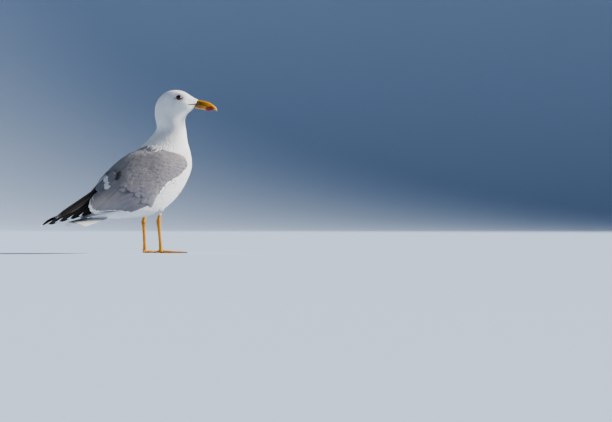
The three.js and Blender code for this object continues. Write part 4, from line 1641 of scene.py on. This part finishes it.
def saddle_roots(rng):
    """Roots of the mantle's and scapulars' feathers, in rows across the back."""
    white, grey = plumage("white"), plumage("grey")
    roots = Roots()
    back, row = SADDLE_RANGE[0], 0
    while back < SADDLE_RANGE[1] - 18:
        step = mix(5.5, 9.5, back / SADDLE_RANGE[1])
        count = int(2 * (np.interp(-back, [-150, -20], [5, 34]) + 18) / (step * 0.95))
        across = (np.linspace(-1, 1, count) + (row % 2) / count) * 1.9 + rng.normal(0, 0.03, count)
        behind = back + 2.5 * np.abs(across) + rng.normal(0, 0.12 * step, count)
        place, way, up = saddle_frames(behind, across)
        roots.add(
            place=place,
            above=mix(-3.0, 0.0, smooth(behind, SADDLE_RANGE[0], 40)),
            way=way + np.cross(up, way) * rng.normal(0, 0.04, (count, 1)),
            up=up,
            length=step * 3.1 * rng.uniform(0.92, 1.1, count),
            width=step * 2.0,
            lift=1.4,
            roll=rng.normal(0, 0.04, count),
            tint=grey * rng.uniform(0.90, 1.06, (count, 1)),
            pale_edge=rng.uniform(0.05, 0.25, count),
            uv=saddle_map(behind, across),
        )
        back += step * 0.85
        row += 1
    # The longest scapulars end in white, under the grey ends of the row before them.
    for step_back, colour, above, pale in ((0.0, white * 0.95, 2.2, 1.0), (-9.5, grey * 0.97, 3.0, 0.0)):
        behind = np.tile(SCAPULARS["behind"], 2) + step_back
        across = np.outer([-1, 1], SCAPULARS["across"]).ravel()
        count = len(behind)
        place, way, up = saddle_frames(behind, across)
        roots.add(
            place=place,
            way=way + np.cross(up, way) * rng.normal(0, 0.07, (count, 1)),
            up=up,
            above=above + rng.normal(0, 0.15, count),
            length=22.0 * rng.uniform(0.93, 1.06, count),
            width=11.0,
            lift=0.8,
            tint=colour * rng.uniform(0.95, 1.03, (count, 1)),
            pale_tip=pale,
            uv=saddle_map(behind, across),
        )
    # Dark feathers beside them: painted shadow of the raised scapulars.
    behind = np.tile(SHADOW_FEATHERS["behind"], 2)
    across = np.outer([-1, 1], SHADOW_FEATHERS["across"]).ravel()
    place, way, up = saddle_frames(behind, across)
    roots.add(
        place=place,
        way=way,
        up=up,
        above=3.2,
        length=15.0,
        width=7.5,
        lift=0.8,
        tint=np.array(SHADOW_FEATHERS["tint"]),
        uv=saddle_map(behind, across),
    )
    return roots


def build_saddle():
    """The mantle and the scapulars, which bridge the wings."""
    rows, columns = 90, 61
    back = np.linspace(SADDLE_RANGE[0] - 14, SADDLE_RANGE[1] + 40, rows)
    grid = saddle_at(*np.meshgrid(back, np.linspace(-2.2, 2.2, columns), indexing="ij"))
    sheet = hidden_object("saddle_sheet", grid.reshape(-1, 3), grid_faces(rows, columns, closed=False))
    saddle = grow("scapulars", saddle_roots(draws("saddle")), "covert", sheet, "coverts")
    drop(sheet)
    return finished(saddle, "wing_feathers")


def quill_roots(side, rng):
    """Roots of a wing's secondaries, greater coverts and tertials."""
    grey = plumage("grey")
    roots = Roots()

    def spread(points, count):
        """Values of x and of the share down the wing, spread evenly over the points given."""
        steps = np.linspace(0, 1, len(points))
        return [np.interp(np.linspace(0, 1, count), steps, values) for values in np.transpose(points)]

    for count, starts, ends, width, roll, above, pale_tip, pale_edge in QUILL_ROWS:
        x, a = spread(starts, count)
        end_x, end_a = spread(ends, count)
        place, _, up, _ = wing_frames(x, a, side)
        end, _, end_up, _ = wing_frames(end_x + rng.normal(0, 0.8, count), end_a, side)
        way = end - place
        up = square_to(way, up + end_up)
        roots.add(
            place=place,
            above=above,
            way=way,
            up=up,
            length=np.linalg.norm(way, axis=1),
            width=width * rng.uniform(0.95, 1.05, count),
            lift=1.6,
            roll=-side * roll,
            tint=grey * rng.uniform(0.90, 1.06, (count, 1)),
            pale_tip=pale_tip,
            pale_edge=pale_edge * rng.uniform(0.4, 1.2, count),
            uv=wing_map(x, a),
        )
    return roots


def build_wings():
    """Both wings: a thin base, rows of coverts, and the longer feathers behind them."""
    for number, (name, side) in enumerate(SIDES.items()):
        rng = draws("wings", number)
        base = wing_base("wing_base_" + name, side)
        sheet = wing_sheet("wing_sheet_" + name, side)
        quills = grow("quills_" + name, quill_roots(side, rng), "quill", sheet, "quills", patch=QUILL_PATCH)
        coverts = grow("coverts_" + name, covert_roots(side, rng), "covert", sheet, "coverts")
        drop(sheet)
        finished(coverts, "wing_feathers")
        finished(quills, "wing_feathers")
        finished(base, "wing_feathers", "wing_" + name)
    build_saddle()


# The two groups of feathers of a wing tip, as on the left side: the long ones of the tip, and the edges that
# show above the tertials. Each has its first root and end, with the steps to the next ones, the way that the
# upper sides face, how white the ends and edges are, and the places on the map: u, the first v and its step.
TIP_GROUPS = (
    {
        "count": 6,
        "root": ((-132.0, -17, 114), (2.0, -1.4, -2.2)),
        "end": ((-297.0, -5, 58.5), (30.0, -1.7, 7.0)),
        "facing": (0.1, 0.75, 0.65),
        "looks": {"pale_tip": 1.0, "pale_edge": 0.06},
        "map": (0.25, 0.08, 0.15),
    },
    {
        "count": 3,
        "root": ((-118.0, 8, 150), (-4.0, 2.5, -7.0)),
        "end": ((-262.0, 4.0, 74), (26.0, 1.2, 8.0)),
        "facing": (0.35, 0.62, 0.7),
        "looks": {"pale_tip": 0.6, "pale_edge": 0.16},
        "map": (0.75, 0.15, 0.3),
    },
)
TIP_WIDTH = 17.0
EDGE_CAST = np.array([1.1, 1.0, 0.95])  # the browner black of the second group


def build_primaries():
    """The black wing tips, each feather with a white end."""
    for number, (name, side) in enumerate(SIDES.items()):
        mirror = np.array([1, side, 1])
        roots = Roots()
        casts = draws("tips", number).uniform(0.85, 1.15, (TIP_GROUPS[0]["count"], 1)), EDGE_CAST
        for group, cast in zip(TIP_GROUPS, casts):
            order = np.arange(group["count"])[:, None]
            start, end = ((np.array(group[at][0]) + order * group[at][1]) * mirror for at in ("root", "end"))
            u, first_v, step_v = group["map"]
            uv = np.hstack([np.full_like(order, u, float), first_v + step_v * order])
            facing = np.tile(group["facing"] * mirror, (len(order), 1))
            looks = {"width": TIP_WIDTH, "tint": plumage("black") * cast, "uv": uv, **group["looks"]}
            roots.add_free(start, end - start, facing, **looks)
        piece = "primaries_" + name
        vanes = grow(piece + "_vanes", roots, "primary", None, "flight_feathers", 0.0, TIP_PATCH)
        finished(vanes, "dark_feathers", piece)


def build_tail():
    """Twelve white tail feathers, the middle pair on top."""
    rng = draws("tail")
    count = 12
    across = np.linspace(-1, 1, count)
    curve = across**2
    start = np.stack([np.full(count, -128.0), across * 13, 84.5 - 1.5 * curve], 1)
    end = np.stack([TAIL_END_X + 12 * curve, across * 23, 64.5 - 4.5 * curve], 1)
    way = end - start
    start[:, 2] += 1.2 * (1 - np.abs(across))
    roots = Roots()
    roots.add_free(
        start,
        way,
        np.stack([0 * across, 0.5 * across, np.ones(count)], 1),
        width=21.0,
        tint=plumage("white") * rng.uniform(0.96, 1.0, (count, 1)),
        uv=np.stack([np.full(count, 0.5), 0.05 + 0.9 * np.arange(count) / count], 1),
    )
    tail = grow("tail_vanes", roots, "rectrix", None, "quills", 0.0, TAIL_PATCH)
    return finished(tail, "tail_feathers", "tail")


# ---- bill, eyes and claws ----
def mouth_line(t):
    """x and z of the edge of the upper half of the bill, from its base to its hooked end."""
    drop = HOOK * t**4 + BILL_DROP * UPPER_LENGTH * t
    return BILL_BASE[0] + UPPER_LENGTH * t, BILL_BASE[1] - drop


def mandible(name, upper):
    """One half of the bill. Its rings stand on the line of the mouth and are flat towards it."""
    length = UPPER_LENGTH if upper else LOWER_LENGTH
    t, angle = np.linspace(0, 1, 110), full_turn(56)
    x, z = mouth_line(t * length / UPPER_LENGTH)
    if upper:
        saddle = 1 - 0.16 * np.sin(np.pi * np.minimum(1, t * 1.6))
        depth = UPPER_DEPTH * saddle * (1 - t) ** 0.24 + 0.7
        width = BILL_HALF_WIDTH * (1 - 0.94 * t) ** 0.62 + 0.4
        gap = 0.45
    else:
        beyond = np.maximum(0, (t - GONYS) / (1 - GONYS))
        depth = -mix(LOWER_DEPTH, GONYS_DEPTH, smooth(t / GONYS)) * (1 - 0.86 * beyond**1.5)
        depth = depth - 0.5 * bump(t, GONYS, 0.10)
        width = BILL_HALF_WIDTH * 0.92 * (1 - 0.9 * t) ** 0.6
        gap = -0.65
    grid_t, grid_angle = np.meshgrid(t, angle, indexing="ij")
    sine, cosine = np.sin(grid_angle), np.cos(grid_angle)
    depth = depth[:, None]
    reach = np.where(sine > 0, depth * np.abs(sine) ** 1.05, -0.53 * np.sign(depth) * np.abs(sine))
    # The sides are flat and the edge of the mouth is a thin lip.
    side_width = width[:, None] * np.sign(cosine) * np.abs(cosine) ** (0.85 if upper else 0.9)
    tight = 1 - 0.10 * bump(np.abs(sine), 0.45, 0.25) * (sine > 0)
    points = np.stack([x[:, None] + 0 * sine, side_width * tight, z[:, None] + gap + reach], -1)
    red = np.zeros_like(grid_t)
    dark = np.zeros_like(grid_t)
    if upper:
        # The nostril is pressed in a little and painted dark as the shade of its hollow.
        slit = bump(grid_t, NOSTRIL, 0.075) * bump(reach, 0.42 * depth, 0.8) * (np.abs(cosine) > 0.3)
        points[..., 1] -= np.sign(cosine) * 1.5 * slit
        dark = smooth(slit, 0.45, 0.9)
        red = 1.1 * bump(grid_t, RED_SPOT, 0.12) * smooth(reach, 0.55 * depth, 0.05 * depth)
    else:
        height = np.abs(reach / depth)
        red = 1.35 * np.exp(-(((grid_t - RED_SPOT) / 0.21) ** 2) - ((height - 0.6) / 0.85) ** 2)
    # Olive towards the face, and more so on the sides than along the culmen and below: the sides carry
    # painted shade.
    dull_base_and_side_shade = smooth(grid_t, 0.9, 0.25) * mix(0.35, 1.0, smooth(np.abs(reach), 8.5, 5.0))
    points, faces = closed_tube(turn_head(points))
    mesh = mesh_of(name, to_frame(points), faces)
    for key, values in (("red", red), ("dull_base_and_side_shade", dull_base_and_side_shade), ("dark", dark)):
        set_attribute(mesh, key, np.concatenate([values.ravel(), [0.0, 0.0]]))
    mend(mesh)
    mesh.materials.append(finish("bill_horn"))
    return new_object(name, mesh)


def build_bill():
    finished(mandible("mandible_upper", True), "bill", "bill_upper")
    finished(mandible("mandible_lower", False), "bill", "bill_lower")


def build_eyes():
    """Both eyes, with the cornea's bulge to the side."""
    for name, side in SIDES.items():
        polar = np.linspace(0, np.pi, 48)[1:-1]
        grid_polar, grid_turn = np.meshgrid(polar, full_turn(56), indexing="ij")
        off = EYE_RADIUS * np.sin(grid_polar)
        bulge = 0.5 * smooth(off, 5.2, 0.0) * (grid_polar < np.pi / 2)
        radius = EYE_RADIUS - 0.15 + bulge
        forward, out, up = (axis[None, None, :] for axis in eye_axes(side))
        across = (radius * np.sin(grid_polar))[..., None]
        turn = grid_turn[..., None]
        points = EYE * (1, side, 1) + across * (forward * np.cos(turn) + up * np.sin(turn))
        points = points + out * (radius * np.cos(grid_polar))[..., None]
        tube, faces = closed_tube(turn_head(points))
        mesh = mesh_of("eyeball_" + name, to_frame(tube), faces)
        outside = np.where(grid_polar < np.pi / 2, off, 9.0)
        set_attribute(mesh, "off_axis", np.concatenate([outside.ravel(), [0.0, 9.0]]))
        mend(mesh)
        mesh.materials.append(finish("eye_surface"))
        finished(new_object("eyeball_" + name, mesh), "eye", "eye_" + name)


def build_claws():
    """Smooth dark claws over the frame's plain ones."""
    for name in SIDES:
        nodes = [f"claw_{name}_{toe}" for toe in (*TOES, "hind")]
        copies = [new_object(node + "_copy", frame["nodes"][node].data.copy()) for node in nodes]
        for copy in copies:
            mend(copy.data)
        whole = joined("claws_" + name, copies)
        rounded = whole.modifiers.new("rounded", "SUBSURF")
        rounded.levels = rounded.render_levels = 2
        mesh = evaluated_mesh(whole)
        drop(whole)
        mesh.materials.clear()
        mesh.materials.append(finish("claw_horn"))
        smoothed(mesh)
        finished(new_object("claws_" + name, mesh), "claw", *nodes)


# ---- stage ----
PICTURE_SIZE = (612, 422)
PICTURE_SCALE = 2.15  # millimetres of the bird for one pixel
BIRD_PIXEL_X = 153.3  # where the bird's origin stands in the picture
VIEW_TURN = math.radians(38)
CAMERA_AWAY = 8.0
CAMERA_HEIGHT = 0.0903
SENSOR = 36.0
FLOOR_RADIUS, SWEEP = 9.0, 3.0  # of the flat floor, and of its bend up into the backdrop
LIGHT_AWAY = 6.0


def add_camera():
    """A level camera far from the bird, which stands to the left of the picture."""
    data = bpy.data.cameras.new("camera")
    camera = new_object("camera", data)
    data.sensor_width = SENSOR
    data.clip_end = 100
    data.lens = SENSOR * CAMERA_AWAY / (PICTURE_SIZE[0] * PICTURE_SCALE / 1000)
    to_bird_way = Vector((math.sin(VIEW_TURN), math.cos(VIEW_TURN), 0))
    aside = Vector((math.cos(VIEW_TURN), -math.sin(VIEW_TURN), 0))
    bird = Vector(to_frame([0, 0, 0])) + Vector((0, 0, CAMERA_HEIGHT))
    camera.location = bird - to_bird_way * CAMERA_AWAY
    off = (PICTURE_SIZE[0] / 2 - BIRD_PIXEL_X) * PICTURE_SCALE / 1000
    aim = to_bird_way * CAMERA_AWAY + aside * off
    camera.rotation_euler = aim.to_track_quat("-Z", "Y").to_euler()
    bpy.context.scene.camera = camera


def add_sun(name, energy, angle, colour, way):
    """A soft light from far away, shining on the bird from a direction."""
    data = bpy.data.lights.new(name, "SUN")
    data.energy, data.angle, data.color = energy, angle, colour
    light = new_object(name, data)
    light.location = Vector(way).normalized() * LIGHT_AWAY
    light.rotation_euler = (-Vector(way)).to_track_quat("-Z", "Y").to_euler()


def add_floor(colour):
    """A pale floor that sweeps up into a backdrop on all sides."""
    turns = full_turn(96)
    count = len(turns)
    profile = [(FLOOR_RADIUS * share, 0.0) for share in (1 / 3, 2 / 3, 1)]
    for bend in np.linspace(0, math.pi / 2, 24)[1:]:
        profile.append((FLOOR_RADIUS + SWEEP * math.sin(bend), SWEEP * (1 - math.cos(bend))))
    points = [(0.0, 0.0, 0.0)]
    points += [(r * math.cos(turn), r * math.sin(turn), z) for r, z in profile for turn in turns]
    faces = [(0, 1 + j, 1 + (j + 1) % count) for j in range(count)]
    faces += [tuple(reversed(face)) for face in grid_faces(len(profile), count, first=1)]
    floor = new_object("floor", mesh_of("floor", points, faces))
    made, w, shader = material("floor_paint", 0.9, specular=0.1)
    cloud = w.noise(w.object_place(), 2.0, 2.0)
    darker = tuple(0.985 * c for c in colour)
    w.feed(shader, "Base Color", w.mixed(cloud, (*colour, 1), (*darker, 1)))
    floor.data.materials.append(made)


def build_stage():
    """Floor, backdrop, light and camera."""
    look = bpy.context.scene.gull_stage
    add_floor(tuple(look.backdrop))
    world = bpy.context.scene.world or bpy.data.worlds.new("studio")
    bpy.context.scene.world = world
    world.use_nodes = True
    background = world.node_tree.nodes["Background"]
    background.inputs["Color"].default_value = (*look.ambient, 1)
    background.inputs["Strength"].default_value = look.ambient_strength
    right = np.array([math.cos(VIEW_TURN), -math.sin(VIEW_TURN), 0.0])
    away = np.array([math.sin(VIEW_TURN), math.cos(VIEW_TURN), 0.0])
    up = np.array([0.0, 0.0, 1.0])
    add_sun("key", look.key, math.radians(14), (1.0, 0.95, 0.88), 0.88 * right + 0.50 * up + 0.22 * away)
    add_sun("fill", look.fill, math.radians(60), (0.72, 0.84, 1.0), -0.7 * right + 0.6 * up - 0.9 * away)
    add_camera()
    bpy.context.scene.view_settings.look = "AgX - Medium High Contrast"


# ---- settings, operators and panel ----
def colour_property(name, description, value):
    return bpy.props.FloatVectorProperty(
        name=name, description=description, subtype="COLOR", size=3, min=0.0, max=1.0, default=tuple(value)
    )


class GullPlumage(bpy.types.PropertyGroup):
    """Colours of the plumage, and the seed that spreads it."""

    white: colour_property("White", "Head, neck, underparts and tail", (0.83, 0.82, 0.80))
    grey: colour_property("Grey", "Mantle and wings", linear(133, 130, 134))
    black: colour_property("Black", "Wing tips", (0.014, 0.012, 0.012))
    seed: bpy.props.IntProperty(name="Seed", description="Spreads the small feathers", default=7, min=0)
    grade: bpy.props.FloatProperty(
        name="Feather size", description="Size of the small feathers", default=1.0, min=0.8, max=3.0
    )
    grain: bpy.props.FloatProperty(
        name="Leg grain",
        description="Edge of the small cubes that the skin of the legs is remeshed with",
        default=0.00062,
        min=0.0004,
        unit="LENGTH",
    )


class GullBareParts(bpy.types.PropertyGroup):
    """Colours of bill, eyes, legs and bare skin."""

    bill: colour_property("Bill", "Horn of the bill", linear(236, 160, 6))
    # Also the colour of the painted shade on the bill's sides.
    bill_base_and_side_shade: colour_property("Bill base", "Duller horn near the face", linear(104, 78, 8))
    gonys: colour_property("Gonys spot", "Red spot of the lower mandible", linear(136, 20, 6))
    gape: colour_property("Gape", "Corner of the mouth", linear(74, 48, 18))
    # Darker than an adult's pale yellow iris: partly a near-adult's colour, partly painted shade of the brow
    # over the eye.
    iris: colour_property("Iris", "Iris of the eye", linear(104, 70, 28))
    lid: colour_property("Orbital ring", "Bare rim of the eye", linear(104, 26, 12))
    leg: colour_property("Leg", "Scaly skin of the leg", linear(222, 152, 34))
    web: colour_property("Web", "Skin between the toes", linear(228, 160, 52))


class GullStage(bpy.types.PropertyGroup):
    """Floor, backdrop and light."""

    backdrop: colour_property("Backdrop", "Floor and backdrop", (0.52, 0.62, 0.78))
    ambient: colour_property("Ambient", "Light from all round", (0.52, 0.70, 1.0))
    ambient_strength: bpy.props.FloatProperty(
        name="Ambient strength", description="Light from all round", default=0.15
    )
    key: bpy.props.FloatProperty(name="Key", description="Main light", default=8.0, min=0.0)
    fill: bpy.props.FloatProperty(name="Fill", description="Light from the other side", default=0.08, min=0.0)


class GULL_OT_skin(bpy.types.Operator):
    """Makes the one skin of body, legs and feet, with lids and gape"""

    bl_idname = "gull.skin"
    bl_label = "Skin"

    def execute(self, context):
        build_skin()
        return {"FINISHED"}


class GULL_OT_feather_kinds(bpy.types.Operator):
    """Makes the few feather shapes that the coats are copies of"""

    bl_idname = "gull.feather_kinds"
    bl_label = "Feather shapes"

    def execute(self, context):
        build_feather_kinds()
        return {"FINISHED"}


class GULL_OT_coat(bpy.types.Operator):
    """Grows the small feathers of head, neck and body"""

    bl_idname = "gull.coat"
    bl_label = "Body coat"

    def execute(self, context):
        build_coat()
        return {"FINISHED"}


class GULL_OT_wings(bpy.types.Operator):
    """Makes both folded wings with their rows of feathers"""

    bl_idname = "gull.wings"
    bl_label = "Wings"

    def execute(self, context):
        build_wings()
        return {"FINISHED"}


class GULL_OT_primaries(bpy.types.Operator):
    """Makes the black wing tips"""

    bl_idname = "gull.primaries"
    bl_label = "Wing tips"

    def execute(self, context):
        build_primaries()
        return {"FINISHED"}


class GULL_OT_tail(bpy.types.Operator):
    """Makes the tail feathers"""

    bl_idname = "gull.tail"
    bl_label = "Tail"

    def execute(self, context):
        build_tail()
        return {"FINISHED"}


class GULL_OT_bill(bpy.types.Operator):
    """Makes both halves of the bill"""

    bl_idname = "gull.bill"
    bl_label = "Bill"

    def execute(self, context):
        build_bill()
        return {"FINISHED"}


class GULL_OT_eyes(bpy.types.Operator):
    """Makes both eyes"""

    bl_idname = "gull.eyes"
    bl_label = "Eyes"

    def execute(self, context):
        build_eyes()
        return {"FINISHED"}


class GULL_OT_claws(bpy.types.Operator):
    """Makes the claws of both feet"""

    bl_idname = "gull.claws"
    bl_label = "Claws"

    def execute(self, context):
        build_claws()
        return {"FINISHED"}


class GULL_OT_stage(bpy.types.Operator):
    """Makes floor, lights and camera"""

    bl_idname = "gull.stage"
    bl_label = "Stage"

    def execute(self, context):
        build_stage()
        return {"FINISHED"}


OPERATORS = (
    GULL_OT_skin,
    GULL_OT_feather_kinds,
    GULL_OT_coat,
    GULL_OT_wings,
    GULL_OT_primaries,
    GULL_OT_tail,
    GULL_OT_bill,
    GULL_OT_eyes,
    GULL_OT_claws,
    GULL_OT_stage,
)


class GULL_PT_panel(bpy.types.Panel):
    """Lists the settings and the makers of the gull's pieces"""

    bl_label = "Gull"
    bl_idname = "GULL_PT_panel"
    bl_space_type = "VIEW_3D"
    bl_region_type = "UI"
    bl_category = "Gull"

    def draw(self, context):
        for group in (context.scene.gull_plumage, context.scene.gull_bare_parts, context.scene.gull_stage):
            for name in group.bl_rna.properties.keys():
                if name not in ("rna_type", "name"):
                    self.layout.prop(group, name)
        for operator in OPERATORS:
            self.layout.operator(operator.bl_idname)


GROUPS = {"gull_plumage": GullPlumage, "gull_bare_parts": GullBareParts, "gull_stage": GullStage}


def register():
    for made in (*GROUPS.values(), *OPERATORS, GULL_PT_panel):
        bpy.utils.register_class(made)
    for name, group in GROUPS.items():
        setattr(bpy.types.Scene, name, bpy.props.PointerProperty(type=group))


def unregister():
    for name in GROUPS:
        delattr(bpy.types.Scene, name)
    for made in (GULL_PT_panel, *reversed(OPERATORS), *GROUPS.values()):
        bpy.utils.unregister_class(made)


def main():
    register()
    for operator in OPERATORS:
        group, name = operator.bl_idname.split(".")
        getattr(getattr(bpy.ops, group), name)()
    for obj in [o for o in bpy.data.objects if o.name in FEATHERS]:
        drop(obj)


if __name__ == "__main__":
    main()
